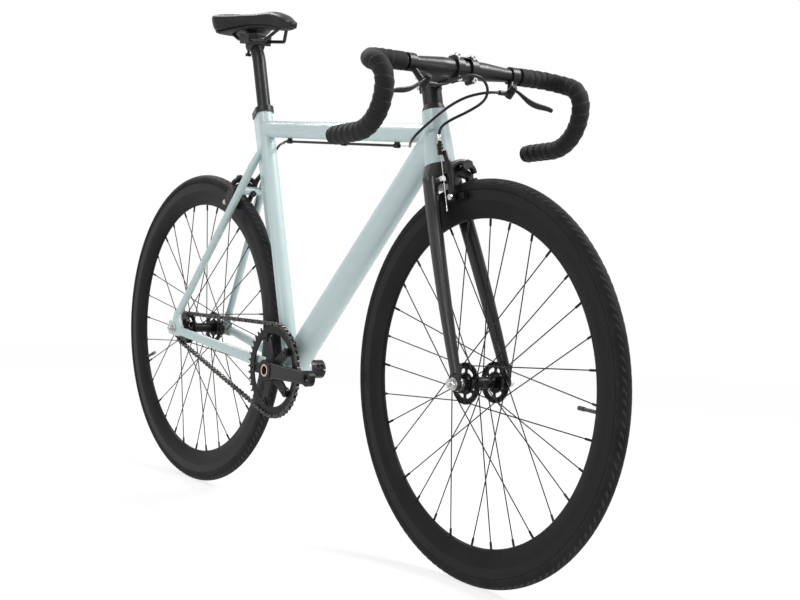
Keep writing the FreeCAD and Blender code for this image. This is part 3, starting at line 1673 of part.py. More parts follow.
def make_tyre(centre):
    """Tyre with its two beads seated in the rim."""
    round_radius = tyre_width / 2
    round_centre = wheel_radius - round_radius
    edge = rim_edge_radius + seat_gap
    bed = rim_bed_radius + seat_gap
    outer_half = math.sqrt(round_radius ** 2 - (round_centre - edge) ** 2)
    inner_radius = round_radius - tyre_wall
    inner_half = math.sqrt(inner_radius ** 2 - (round_centre - edge) ** 2)
    bead_out = rim_width / 2 - rim_wall - seat_gap
    bead_in = bead_out - bead_width
    wire = section_wire(centre, (
        ((outer_half, edge), (0, wheel_radius), (-outer_half, edge)),
        ((-outer_half, edge), (-bead_out, edge)),
        ((-bead_out, edge), (-bead_out, bed)),
        ((-bead_out, bed), (-bead_in, bed)),
        ((-bead_in, bed), (-inner_half, edge)),
        ((-inner_half, edge), (0, wheel_radius - tyre_wall), (inner_half, edge)),
        ((inner_half, edge), (bead_in, bed)),
        ((bead_in, bed), (bead_out, bed)),
        ((bead_out, bed), (bead_out, edge)),
        ((bead_out, edge), (outer_half, edge)),
    ))
    return spun([wire], centre)


def make_rim(centre, valve_angle):
    """Deep hollow rim with a brake track on each side and a hole for the valve."""
    half = rim_width / 2
    channel = half - rim_wall
    nose = rim_nose_radius + rim_nose_rise
    flank_half = (half + rim_nose_half) / 2 + rim_bulge
    flank_radius = (rim_shoulder_radius + nose) / 2
    outer = section_wire(centre, (
        ((half, rim_edge_radius), (half, rim_shoulder_radius)),
        ((half, rim_shoulder_radius), (flank_half, flank_radius), (rim_nose_half, nose)),
        ((rim_nose_half, nose), (0, rim_nose_radius), (-rim_nose_half, nose)),
        ((-rim_nose_half, nose), (-flank_half, flank_radius), (-half, rim_shoulder_radius)),
        ((-half, rim_shoulder_radius), (-half, rim_edge_radius)),
        ((-half, rim_edge_radius), (-channel, rim_edge_radius)),
        ((-channel, rim_edge_radius), (-channel, rim_bed_radius)),
        ((-channel, rim_bed_radius), (channel, rim_bed_radius)),
        ((channel, rim_bed_radius), (channel, rim_edge_radius)),
        ((channel, rim_edge_radius), (half, rim_edge_radius)),
    ))
    top = rim_bed_radius - rim_wall
    low = nose + rim_wall
    low_half = rim_nose_half - rim_wall / 2
    cavity = section_wire(centre, (
        ((channel, top), (channel, rim_shoulder_radius)),
        ((channel, rim_shoulder_radius), (low_half, low)),
        ((low_half, low), (-low_half, low)),
        ((-low_half, low), (-channel, rim_shoulder_radius)),
        ((-channel, rim_shoulder_radius), (-channel, top)),
        ((-channel, top), (channel, top)),
    ))
    ring = spun([outer], centre).cut(spun([cavity], centre))
    valve = rod(
        on_wheel(centre, rim_nose_radius - overrun, valve_angle, 0),
        on_wheel(centre, rim_edge_radius, valve_angle, 0), valve_radius + seat_gap,
    )
    return ring.cut(valve)


def make_inner_tube(centre, valve_angle):
    """Inner tube with its valve through the rim."""
    middle = wheel_radius - tyre_width / 2
    ring = Part.makeTorus(middle, tube_radius, centre, side)
    tip_radius = rim_nose_radius - valve_reach
    root = on_wheel(centre, middle - tube_radius / 2, valve_angle, 0)
    tip = on_wheel(centre, tip_radius, valve_angle, 0)
    cap_start = on_wheel(centre, tip_radius + valve_cap_length, valve_angle, 0)
    return fused([ring, rod(root, tip, valve_radius), rod(cap_start, tip, valve_cap_radius)])


def spoke_body(centre, flange_place, hub_angle, rim_angle, outside, rim_side):
    """One spoke with its head, bend and nipple."""
    sign = 1 if flange_place > 0 else -1
    half = flange_thickness / 2
    run = half + spoke_radius + seat_gap + (spoke_lift if outside > 0 else 0)
    start_side = flange_place + sign * run * outside
    head_side = flange_place - sign * (half + seat_gap) * outside
    head_end = head_side - sign * spoke_head_height * outside
    start = on_wheel(centre, spoke_circle_radius, hub_angle, start_side)
    head_start = on_wheel(centre, spoke_circle_radius, hub_angle, head_side)
    head_tip = on_wheel(centre, spoke_circle_radius, hub_angle, head_end)
    end = on_wheel(centre, rim_nose_radius - seat_gap, rim_angle, rim_side)
    way = unit(end - start)
    nipple = rod(end - way * nipple_length, end, nipple_radius)
    bend = rod(head_start, start, spoke_radius)
    head = rod(head_tip, head_start, spoke_head_radius)
    knee = Part.makeSphere(spoke_radius, start)
    return fused([rod(start, end, spoke_radius), nipple, bend, head, knee])


def make_spokes(centre, flange_place):
    """All spokes of a wheel, crossed on both sides."""
    step = 360.0 / spokes_per_flange
    lean = step * spoke_crossings
    spokes = []
    for sign in (1, -1):
        offset = 0 if sign > 0 else step / 2
        trailing = spoke_body(
            centre, sign * flange_place, offset, offset + lean, 1, sign * nipple_spread,
        )
        leading = spoke_body(
            centre, sign * flange_place, offset + step, offset + step - lean, -1, sign * nipple_spread,
        )
        for spoke in (trailing, leading):
            spokes += copies(spoke, spokes_per_flange // 2, centre, side)
    return group(spokes)


def hub_flange(centre, place, offset):
    """High flange with round ended slots and spoke holes."""
    low = place - flange_thickness / 2
    high = place + flange_thickness / 2
    flange = cross_rod(centre, flange_radius, low, high)
    hole_place = on_wheel(centre, spoke_circle_radius, offset, 0)
    hole = cross_rod(hole_place, spoke_hole_radius, low - overrun, high + overrun)
    slot = slot_cutter(centre, low - overrun, high + overrun)
    cutters = copies(hole, spokes_per_flange, centre, side) + copies(slot, flange_slots, centre, side)
    return flange.cut(Part.makeCompound(cutters))


def slot_cutter(centre, low, high):
    """Curved slot with round ends about a wheel centre."""
    start_place = on_wheel(centre, flange_slot_circle, -flange_slot_turn / 2, 0)
    end_place = on_wheel(centre, flange_slot_circle, flange_slot_turn / 2, 0)
    ends = [cross_rod(place, flange_slot_radius, low, high) for place in (start_place, end_place)]
    inner = flange_slot_circle - flange_slot_radius
    outer = flange_slot_circle + flange_slot_radius
    half = flange_slot_turn / 2
    band = Part.Wire([
        Part.Arc(on_wheel(centre, outer, -half, low), on_wheel(centre, outer, 0, low),
                 on_wheel(centre, outer, half, low)).toShape(),
        Part.LineSegment(on_wheel(centre, outer, half, low), on_wheel(centre, inner, half, low)).toShape(),
        Part.Arc(on_wheel(centre, inner, half, low), on_wheel(centre, inner, 0, low),
                 on_wheel(centre, inner, -half, low)).toShape(),
        Part.LineSegment(on_wheel(centre, inner, -half, low), on_wheel(centre, outer, -half, low)).toShape(),
    ])
    return fused([Part.Face(band).extrude(V(0, high - low, 0))] + ends)


def make_hub(centre, flange_place, hub_end, axle_radius):
    """Hub shell with two high flanges and a bearing ring in each end."""
    step = 360.0 / spokes_per_flange
    barrel = cross_rod(centre, hub_barrel_radius, -flange_place, flange_place)
    ends = [
        cross_rod(centre, hub_shell_radius, flange_place - flange_thickness, hub_end),
        cross_rod(centre, hub_shell_radius, -hub_end, -flange_place + flange_thickness),
    ]
    flanges = [hub_flange(centre, flange_place, 0), hub_flange(centre, -flange_place, step / 2)]
    shell = fused([barrel] + ends + flanges)
    bore = cross_rod(centre, axle_radius + body_gap * 2, -hub_end - overrun, hub_end + overrun)
    shell = shell.cut(bore)
    bearings = []
    for sign in (1, -1):
        inner_side = sign * (hub_end - hub_bearing_width)
        pocket = cross_rod(centre, hub_bearing_radius, *sorted((inner_side, sign * hub_end)))
        shell = shell.cut(pocket)
        ring = pocket.cut(cross_rod(centre, axle_radius + running_gap, -hub_end - overrun, hub_end + overrun))
        bearings.append(ring)
    return group([shell] + bearings)


def make_axle(centre, hub_end, hub_width, axle_radius, end_thickness):
    """Axle with lock nuts inside the frame ends, washers and nuts outside them."""
    inner = hub_width / 2
    outer = inner + end_thickness
    tip = outer + washer_thickness + axle_nut_height + axle_stub
    pieces = [cross_rod(centre, axle_radius, -tip, tip)]
    for sign in (1, -1):
        lock = cross_rod(centre, lock_nut_radius, *sorted((sign * (hub_end + body_gap), sign * inner)))
        washer_end = sign * (outer + washer_thickness)
        washer = cross_rod(centre, washer_radius, *sorted((sign * outer, washer_end)))
        nut = hexagon(V(centre.x, washer_end, centre.z), side * sign, axle_nut_flats, axle_nut_height)
        pieces += [lock, washer, nut]
    return fused(pieces)


# Drive

def tooth_wire(centre, teeth, pitch_radius, first_angle, low):
    """Toothed outline: a round seat for each roller and a blunt tip between seats."""
    seat_radius = roller_radius + body_gap
    step = 2 * math.pi / teeth
    tip_radius = pitch_radius + tooth_height
    flank = math.radians(62)
    edges = []
    last = None
    first = None

    def polar(radius, angle):
        return V(centre.x + radius * math.cos(angle), low, centre.z + radius * math.sin(angle))

    for tooth in range(teeth):
        angle = math.radians(first_angle) + tooth * step
        seat = polar(pitch_radius, angle)
        outward = V(math.cos(angle), 0, math.sin(angle))
        along = V(-math.sin(angle), 0, math.cos(angle))
        before = seat - outward * (seat_radius * math.cos(flank)) - along * (seat_radius * math.sin(flank))
        bottom = seat - outward * seat_radius
        after = seat - outward * (seat_radius * math.cos(flank)) + along * (seat_radius * math.sin(flank))
        tip_half = tooth_tip_half / tip_radius
        tip_start = polar(tip_radius, angle + step / 2 - tip_half)
        tip_end = polar(tip_radius, angle + step / 2 + tip_half)
        if last is not None:
            edges.append(Part.LineSegment(last, before).toShape())
        else:
            first = before
        edges.append(Part.Arc(before, bottom, after).toShape())
        edges.append(Part.LineSegment(after, tip_start).toShape())
        edges.append(Part.LineSegment(tip_start, tip_end).toShape())
        last = tip_end
    edges.append(Part.LineSegment(last, first).toShape())
    return Part.Wire(edges)


def sprocket_blank(centre, teeth, pitch_radius, first_angle):
    """Toothed disc on the chain line."""
    low = -chain_line - tooth_width / 2
    wire = tooth_wire(centre, teeth, pitch_radius, first_angle, low)
    return Part.Face(wire).extrude(V(0, tooth_width, 0))


def round_point(centre, toward, upward, radius, angle):
    """Point at a radius and an angle from one direction towards another."""
    return centre + toward * (radius * math.cos(angle)) + upward * (radius * math.sin(angle))


def chain_stations():
    """Roller centres in pitches along the chain line, from the ring's front over the top run."""
    line = unit(rear_centre - bb_centre)
    upward = V(line.z, 0, -line.x)
    lean = chain_lean(chain_centres)
    ring_half = math.pi / 2 + lean
    cog_half = math.pi / 2 - lean
    ring_step = 2 * math.pi / ring_teeth
    cog_step = 2 * math.pi / cog_teeth
    ring_top = round_point(bb_centre, line * -1, upward, ring_pitch_radius, ring_half)
    ring_low = round_point(bb_centre, line * -1, upward, ring_pitch_radius, -ring_half)
    cog_top = round_point(rear_centre, line, upward, cog_pitch_radius, cog_half)
    cog_low = round_point(rear_centre, line, upward, cog_pitch_radius, -cog_half)
    spans = chain_spans(chain_centres)
    stations = []
    for link in range(chain_links):
        place = sum(spans) * link / chain_links
        run = 0
        while place > spans[run]:
            place -= spans[run]
            run += 1
        if run == 0:
            point = round_point(bb_centre, line * -1, upward, ring_pitch_radius, place * ring_step)
        elif run == 1:
            point = ring_top + (cog_top - ring_top) * (place / spans[run])
        elif run == 2:
            point = round_point(rear_centre, line, upward, cog_pitch_radius, cog_half - place * cog_step)
        elif run == 3:
            point = cog_low + (ring_low - cog_low) * (place / spans[run])
        else:
            angle = place * ring_step - ring_half
            point = round_point(bb_centre, line * -1, upward, ring_pitch_radius, angle)
        stations.append(point)
    return stations


def roller_angle(centre):
    """Angle about a sprocket of the roller that lies furthest out on its wrap."""
    away = unit(centre * 2 - bb_centre - rear_centre)
    outermost = max(chain_stations(), key=lambda point: (point - centre).dot(away))
    return math.degrees(math.atan2(outermost.z - centre.z, outermost.x - centre.x))


def link_plate(length, half, waist, low, thickness):
    """Figure of eight plate with its first eye at the origin and the second along X."""
    bow = math.sqrt(0.5)
    edges = []
    corner = half * bow
    middle = length / 2
    top_left = V(corner, low, corner)
    top_right = V(length - corner, low, corner)
    edges.append(Part.Arc(top_left, V(middle, low, waist), top_right).toShape())
    low_right = V(length - corner, low, -corner)
    low_left = V(corner, low, -corner)
    edges.append(Part.Arc(top_right, V(length + half, low, 0), low_right).toShape())
    edges.append(Part.Arc(low_right, V(middle, low, -waist), low_left).toShape())
    edges.append(Part.Arc(low_left, V(-half, low, 0), top_left).toShape())
    return Part.Face(Part.Wire(edges)).extrude(V(0, thickness, 0))


def chain_link(length, outer):
    """Inner link with its rollers, or outer link with its pins."""
    inner_half = chain_inner_width / 2
    plate_start = inner_half if not outer else inner_half + chain_plate + seat_gap
    pieces = []
    for low in (plate_start, -plate_start - chain_plate):
        pieces.append(link_plate(length, chain_plate_half, chain_waist_half, low, chain_plate))
    for place in (0, length):
        centre = V(place, 0, 0)
        if outer:
            reach = plate_start + chain_plate + chain_pin_stub
            pieces.append(cross_rod(centre, chain_pin_radius, -reach, reach))
        else:
            pieces.append(cross_rod(centre, roller_radius, -inner_half, inner_half))
    link = fused(pieces)
    if not outer:
        reach = inner_half + chain_plate + overrun
        for place in (0, length):
            link = link.cut(cross_rod(V(place, 0, 0), chain_pin_radius + running_gap, -reach, reach))
    return link


def make_chain():
    """Closed roller chain of inner and outer links in turn."""
    stations = chain_stations()
    links = []
    for index, start in enumerate(stations):
        end = stations[(index + 1) % len(stations)]
        way = end - start
        link = chain_link(way.Length, index % 2 == 1)
        angle = -math.degrees(math.atan2(way.z, way.x))
        link.rotate(V(0, 0, 0), side, angle)
        link.translate(V(start.x, -chain_line, start.z))
        links.append(link)
    return group(links)


def make_rear_cog():
    """Toothed cog and the lock ring that holds it on the hub."""
    blank = sprocket_blank(rear_centre, cog_teeth, cog_pitch_radius, roller_angle(rear_centre))
    low = -chain_line - cog_body_width / 2
    high = -chain_line + cog_body_width / 2
    body = cross_rod(rear_centre, hub_shell_radius * 1.3, low, high)
    cog = fused([blank, body])
    hole_place = on_wheel(rear_centre, cog_hole_circle, 0, 0)
    hole = cross_rod(hole_place, cog_hole_radius, low - overrun, high + overrun)
    cog = cog.cut(Part.makeCompound(copies(hole, cog_holes, rear_centre, side)))
    bore = cross_rod(rear_centre, hub_shell_radius + seat_gap, low - 4 * overrun, high + overrun)
    ring_high = low - seat_gap
    ring = cross_rod(rear_centre, lock_ring_radius, ring_high - lock_ring_width, ring_high)
    notch = cross_rod(
        on_wheel(rear_centre, lock_ring_radius, 0, 0), lock_ring_width / 2,
        ring_high - lock_ring_width - overrun, ring_high + overrun,
    )
    ring = ring.cut(Part.makeCompound(copies(notch, lock_ring_notches, rear_centre, side)))
    return group([cog.cut(bore), ring.cut(bore)])


def ring_bolt_places():
    """Chainring bolt centres, set evenly with the crank arm between two of them."""
    for bolt in range(ring_bolts):
        angle = crank_angle + 180 + 360.0 * bolt / ring_bolts
        yield angle, on_wheel(bb_centre, ring_bolt_circle, angle, 0)


def make_chainring():
    """Chainring with a bolt tab for each spider arm."""
    first = roller_angle(bb_centre)
    low = -chain_line - tooth_width / 2
    high = -chain_line + tooth_width / 2
    ring = sprocket_blank(bb_centre, ring_teeth, ring_pitch_radius, first)
    ring = ring.cut(cross_rod(bb_centre, ring_inner_radius, low - overrun, high + overrun))
    tabs = []
    holes = []
    for angle, place in ring_bolt_places():
        tabs.append(cross_rod(place, ring_tab_radius, low, high))
        holes.append(cross_rod(place, ring_bolt_radius + seat_gap, low - overrun, high + overrun))
    return fused([ring] + tabs).cut(Part.makeCompound(holes))


def spider_levels():
    """Inner and outer side of the spider arms, outside the chainring."""
    high = -chain_line - tooth_width / 2 - seat_gap
    return high - spider_thickness, high


def make_chainring_bolts():
    """Five bolts that hold the chainring to the spider."""
    low, high = spider_levels()
    inner = -chain_line + tooth_width / 2 + seat_gap
    bolts = []
    for angle, place in ring_bolt_places():
        shank = cross_rod(place, ring_bolt_radius, low - seat_gap, inner)
        outer_head = cross_rod(place, ring_bolt_head, low - seat_gap - ring_bolt_head_height, low - seat_gap)
        inner_head = cross_rod(place, ring_bolt_head, inner, inner + ring_bolt_head_height)
        socket = cross_rod(
            place, ring_bolt_radius * 0.7, low - ring_bolt_head_height - overrun,
            low - ring_bolt_head_height * 0.2,
        )
        bolts.append(fused([shank, outer_head, inner_head]).cut(socket))
    return group(bolts)


def arm_body(angle, sign, root_side):
    """Crank arm from its root to the pedal boss, flaring outwards."""
    across, rise = turned(angle)
    way = V(across, 0, rise)
    upward = V(-rise, 0, across)
    tip_side = sign * (pedal_face - arm_tip_thickness / 2)
    root = V(bb_centre.x, sign * root_side, bb_centre.z)
    tip = V(bb_centre.x, tip_side, bb_centre.z) + way * crank_length
    waist = root + (tip - root) * 0.42
    sections = []
    for place, half, thick in (
        (root, arm_root_half, arm_root_thickness / 2),
        (waist, (arm_root_half + arm_tip_half) / 2 * 0.94, arm_root_thickness / 2),
        (tip, arm_tip_half, arm_tip_thickness / 2),
    ):
        sections.append(round_box(place, side, upward, thick, half, arm_corner))
    pedal = V(tip.x, 0, tip.z)
    inner_face = sign * (pedal_face - arm_tip_thickness)
    boss = cross_rod(pedal, pedal_boss_radius, *sorted((sign * pedal_face, inner_face)))
    hole_start = sign * (pedal_face + overrun)
    hole_end = inner_face - sign * overrun
    hole = cross_rod(pedal, pedal_hole_radius, *sorted((hole_start, hole_end)))
    return fused([lofted(sections), boss]).cut(hole)


def make_crank_arm_right():
    """Right crank arm with its spider and the hollow spindle that both cranks share."""
    hub = cross_rod(bb_centre, crank_hub_radius, -crank_hub_outer, -crank_hub_inner)
    root_side = (crank_hub_outer + crank_hub_inner) / 2
    arm = arm_body(crank_angle, -1, root_side)
    low, high = spider_levels()
    spider = []
    for angle, place in ring_bolt_places():
        across, rise = turned(angle)
        normal = V(-rise, 0, across)
        root = V(bb_centre.x, low, bb_centre.z)
        tip = V(place.x, low, place.z)
        corners = [
            root + normal * spider_root_half, root - normal * spider_root_half,
            tip - normal * spider_tip_half, tip + normal * spider_tip_half,
            root + normal * spider_root_half,
        ]
        spider.append(Part.Face(Part.makePolygon(corners)).extrude(V(0, high - low, 0)))
        spider.append(cross_rod(place, ring_tab_radius, low, high))
    spindle = cross_rod(bb_centre, spindle_radius, -crank_hub_outer, left_boss_outer - seat_gap)
    crank = fused([hub, arm, spindle] + spider)
    crank = crank.cut(cross_rod(
        bb_centre, spindle_radius - spindle_wall, -crank_hub_outer - overrun, left_boss_outer + overrun,
    ))
    holes = []
    for angle, place in ring_bolt_places():
        holes.append(cross_rod(place, ring_bolt_radius + seat_gap, low - overrun, high + overrun))
    return crank.cut(Part.makeCompound(holes))


def make_crank_arm_left():
    """Left crank arm clamped on the spindle with two pinch bolts."""
    boss = cross_rod(bb_centre, left_boss_radius, crank_hub_inner, left_boss_outer)
    root_side = (crank_hub_inner + left_boss_outer) / 2
    arm = arm_body(crank_angle + 180, 1, root_side)
    crank = fused([boss, arm])
    bore_radius = spindle_radius + seat_gap
    crank = crank.cut(cross_rod(bb_centre, bore_radius, crank_hub_inner - overrun, left_boss_outer + overrun))
    slot = Part.makeBox(
        left_boss_radius + overrun, left_boss_outer - crank_hub_inner + 2 * overrun, pinch_slot,
        V(bb_centre.x, crank_hub_inner - overrun, bb_centre.z - pinch_slot / 2),
    )
    crank = crank.cut(slot)
    bolts = []
    reach = left_boss_radius * 0.62
    for share in (0.28, 0.72):
        place = V(
            bb_centre.x + (spindle_radius + left_boss_radius) / 2,
            crank_hub_inner + (left_boss_outer - crank_hub_inner) * share, bb_centre.z,
        )
        shank = rod(place - V(0, 0, reach), place + V(0, 0, reach), pinch_bolt_radius)
        head = rod(place + V(0, 0, reach * 0.6), place + V(0, 0, reach), pinch_bolt_head)
        bolt = fused([shank, head])
        crank = crank.cut(bolt)
        bolts.append(bolt)
    return group([crank] + bolts)


# All pieces by name

front_brake = front_brake_frame()
rear_brake = rear_brake_frame()
pieces = {
    "head_tube": make_head_tube,
    "top_tube": make_top_tube,
    "down_tube": make_down_tube,
    "seat_tube": make_seat_tube,
    "bottom_bracket_shell": make_bottom_bracket_shell,
    "chainstays": make_chainstays,
    "seatstays": make_seatstays,
    "rear_dropouts": make_rear_dropouts,
    "cable_guides": make_cable_guides,
    "headset_bearings": make_headset_bearings,
    "bottom_bracket_cups": make_bottom_bracket_cups,
    "seat_clamp": make_seat_clamp,
    "rear_axle": lambda: make_axle(
        rear_centre, rear_hub_end, rear_hub_width, rear_axle_radius, dropout_thickness,
    ),
    "rear_brake_bolt": lambda: make_brake_bolt(rear_brake, rear_brake_standoff, bridge_radius),
    "rear_brake_hose": make_rear_brake_hose,
    "rear_brake_hose_loop": make_rear_brake_hose_loop,
    "chain": make_chain,
    "seatpost": make_seatpost,
    "saddle_clamp": make_saddle_clamp,
    "saddle_rails": make_saddle_rails,
    "saddle_base": make_saddle_base,
    "saddle_cover": make_saddle_cover,
    "fork_crown": make_fork_crown,
    "fork_blades": make_fork_blades,
    "headset_spacers": make_headset_spacers,
    "stem": make_stem,
    "stem_faceplate": make_stem_faceplate,
    "stem_bolts": make_stem_bolts,
    "handlebar": make_handlebar,
    "bar_tape": make_bar_tape,
    "bar_end_plugs": make_bar_end_plugs,
    "lever_clamps": make_lever_clamps,
    "brake_lever_left": lever_body,
    "brake_lever_right": lambda: mirrored(lever_body()),
    "front_brake_bolt": lambda: make_brake_bolt(
        front_brake, front_brake_standoff, crown_half_length + seat_gap,
    ),
    "front_brake_hose": make_front_brake_hose,
    "front_axle": lambda: make_axle(
        front_centre, front_hub_end, front_hub_width, front_axle_radius, fork_end_thickness,
    ),
    "front_brake_arm_right": lambda: outer_arm(front_brake, front_brake_standoff),
    "front_brake_arm_left": lambda: inner_arm(front_brake, front_brake_standoff),
    "front_brake_pad_right": lambda: make_brake_pad(front_brake, front_brake_standoff, front_centre, -1),
    "front_brake_pad_left": lambda: make_brake_pad(front_brake, front_brake_standoff, front_centre, 1),
    "rear_brake_arm_left": lambda: outer_arm(rear_brake, rear_brake_standoff),
    "rear_brake_arm_right": lambda: inner_arm(rear_brake, rear_brake_standoff),
    "rear_brake_pad_left": lambda: make_brake_pad(rear_brake, rear_brake_standoff, rear_centre, -1),
    "rear_brake_pad_right": lambda: make_brake_pad(rear_brake, rear_brake_standoff, rear_centre, 1),
    "front_tyre": lambda: make_tyre(front_centre),
    "front_inner_tube": lambda: make_inner_tube(front_centre, front_valve_angle),
    "front_rim": lambda: make_rim(front_centre, front_valve_angle),
    "front_spokes": lambda: make_spokes(front_centre, front_flange_place),
    "front_hub": lambda: make_hub(front_centre, front_flange_place, front_hub_end, front_axle_radius),
    "rear_tyre": lambda: make_tyre(rear_centre),
    "rear_inner_tube": lambda: make_inner_tube(rear_centre, rear_valve_angle),
    "rear_rim": lambda: make_rim(rear_centre, rear_valve_angle),
    "rear_spokes": lambda: make_spokes(rear_centre, rear_flange_place),
    "rear_hub": lambda: make_hub(rear_centre, rear_flange_place, rear_hub_end, rear_axle_radius),
    "rear_cog": make_rear_cog,
    "crank_arm_right": make_crank_arm_right,
    "crank_arm_left": make_crank_arm_left,
    "chainring": make_chainring,
    "chainring_bolts": make_chainring_bolts,
}

os.makedirs("parts", exist_ok=True)
for name, make in pieces.items():
    shape = make()
    print(name, len(shape.Solids), "solids", round(shape.Volume / 1000, 2), "cm3", shape.isValid())
    shape.exportStep("parts/" + name + ".step")
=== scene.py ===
import math

import bpy
import numpy as np
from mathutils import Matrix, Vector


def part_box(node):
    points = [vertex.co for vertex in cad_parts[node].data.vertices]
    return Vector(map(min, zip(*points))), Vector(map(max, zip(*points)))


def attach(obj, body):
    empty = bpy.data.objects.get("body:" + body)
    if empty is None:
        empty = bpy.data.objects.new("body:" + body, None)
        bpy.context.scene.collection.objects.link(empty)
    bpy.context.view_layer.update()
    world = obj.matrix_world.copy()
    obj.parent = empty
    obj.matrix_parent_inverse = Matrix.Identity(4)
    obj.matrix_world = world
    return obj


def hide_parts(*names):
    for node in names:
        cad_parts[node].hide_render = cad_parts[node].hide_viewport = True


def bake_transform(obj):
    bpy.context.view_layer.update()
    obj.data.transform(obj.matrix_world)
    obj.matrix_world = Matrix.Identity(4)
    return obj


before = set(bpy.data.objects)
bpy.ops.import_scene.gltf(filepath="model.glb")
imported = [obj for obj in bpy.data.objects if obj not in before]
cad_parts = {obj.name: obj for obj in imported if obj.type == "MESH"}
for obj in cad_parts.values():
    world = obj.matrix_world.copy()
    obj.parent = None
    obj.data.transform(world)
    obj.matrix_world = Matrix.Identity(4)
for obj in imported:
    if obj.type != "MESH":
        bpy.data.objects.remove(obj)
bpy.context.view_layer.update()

bl_info = {
    "name": "Fixed gear bicycle",
    "version": (1, 0, 0),
    "blender": (4, 5, 0),
    "location": "3D View > Sidebar > Bicycle",
    "description": "Finishes, soft parts, brake arms and studio of a fixed gear bicycle",
    "category": "Object",
}

IMAGE_WIDTH = 800
WHEELS = {"front": "front_wheel", "rear": "rear_wheel"}
SOCKETS = {
    "coat_weight": "Coat Weight", "coat_roughness": "Coat Roughness",
    "specular": "Specular IOR Level", "sheen": "Sheen Weight",
}
# Part of a noise pattern's range that is drawn on
NOISE_SPAN = (0.3, 0.7)
# Places, before and after a span, of the four points that a cardinal spline draws on
NEAREST = np.arange(-1, 3)


# Property helpers

def maker(kind, **fixed):
    """Function that makes properties of one kind from a name, a default and a description."""
    def made(name, default, description):
        return kind(name=name, default=default, description=description, **fixed)
    return made


# Metres, number without a unit, radians, whole number, linear colour, point in the bicycle's own
# frame in metres, and a row of eight numbers along the saddle from its rear to its nose
length = maker(bpy.props.FloatProperty, unit="LENGTH", precision=5)
share = maker(bpy.props.FloatProperty, precision=4)
radians = maker(bpy.props.FloatProperty, subtype="ANGLE")
count = maker(bpy.props.IntProperty, min=1)
colour = maker(bpy.props.FloatVectorProperty, subtype="COLOR", size=3, min=0.0, max=1.0)
place = maker(bpy.props.FloatVectorProperty, subtype="TRANSLATION", size=3, precision=5)
shares = maker(bpy.props.FloatVectorProperty, size=8)


def angle(name, degrees, description):
    """Angle, written in degrees and kept in radians."""
    return radians(name, math.radians(degrees), description)


# Sizes and colours

class BikeStage(bpy.types.PropertyGroup):
    """Studio and camera."""
    azimuth: angle("Azimuth", 53.2855, "Direction of the camera from the right side towards the front")
    elevation: angle("Elevation", 3.3225, "Height of the camera above level")
    roll: angle("Roll", 3.1132, "Turn of the picture about the view line")
    distance: length("Distance", 2.64282, "From the camera to its target")
    target: place("Target", (0.077390, 0.126755, 0.442195), "Point that the camera looks at")
    focal_pixels: share("Focal length", 1367.45, "Focal length in pixels of the picture")
    sensor: share("Sensor width", 36.0, "Sensor width in millimetres")
    floor_radius: length("Floor radius", 16.0, "Reach of the floor")
    floor_colour: colour("Floor", (0.87, 0.87, 0.87), "Colour of the floor")
    floor_fade: length("Floor fade", 3.6, "Distance at which the floor is as white as the backdrop")
    ambient: share("Ambient", 0.24, "Strength of the even light from all round")
    key_power: share("Key light", 30.0, "Power of the large light above the camera, in watts")
    fill_power: share("Fill light", 22.0, "Power of the tall light at the front, in watts")
    bar_power: share("Bar light", 112.0, "Power of the light above the left of the bar, in watts")
    back_power: share("Back light", 64.0, "Power of the light behind the bicycle, in watts")
    side_power: share("Side light", 26.0, "Power of the tall light on the right, in watts")


class BikeColours(bpy.types.PropertyGroup):
    """Colours of the finishes."""
    paint: colour("Frame paint", (0.372, 0.462, 0.466), "Pale grey green of the frame")
    satin: colour("Satin black", (0.010, 0.010, 0.011), "Anodised bar, stem, post, crank and brakes")
    fork: colour("Fork black", (0.012, 0.012, 0.013), "Satin paint of the fork")
    rim: colour("Rim black", (0.010, 0.010, 0.011), "Anodised rims")
    silver: colour("Silver", (0.52, 0.51, 0.50), "Bare steel fasteners")
    copper: colour("Spindle", (0.62, 0.47, 0.39), "Plated end of the crank spindle")
    dark: colour("Dark steel", (0.070, 0.067, 0.064), "Chain and cog")
    spoke: colour("Spoke black", (0.016, 0.016, 0.017), "Blackened spokes")
    rubber: colour("Rubber", (0.011, 0.011, 0.012), "Tyres and brake blocks")
    tape: colour("Bar tape", (0.010, 0.010, 0.011), "Padded tape")
    hose: colour("Hose", (0.009, 0.009, 0.010), "Sheath of the brake hoses")
    plastic: colour("Plastic", (0.012, 0.012, 0.013), "Moulded plugs and saddle base")
    leather: colour("Leather", (0.010, 0.010, 0.010), "Saddle cover")


class BikeTyre(bpy.types.PropertyGroup):
    """Tyre section and tread."""
    radius: length("Radius", 0.336, "Outer radius of the wheel")
    width: length("Width", 0.025, "Width of the tyre")
    wall: length("Wall", 0.003, "Thickness of the tyre wall")
    rim_edge: length("Rim edge", 0.3182, "Radius at which the tyre meets the rim")
    grooves: count("Grooves", 132, "Diagonal grooves on each shoulder")
    groove_depth: length("Groove depth", 0.0007, "Depth of a groove")
    groove_inner: length("Groove inner end", 0.0036, "Distance of the grooves from the smooth middle")
    groove_outer: length("Groove outer end", 0.0100, "Distance of the outer ends of the grooves")
    groove_lean: length("Groove lean", 0.011, "Length by which a groove leans back along the tyre")
    rib_height: length("Rib height", 0.00035, "Height of the moulded lines on the side wall")


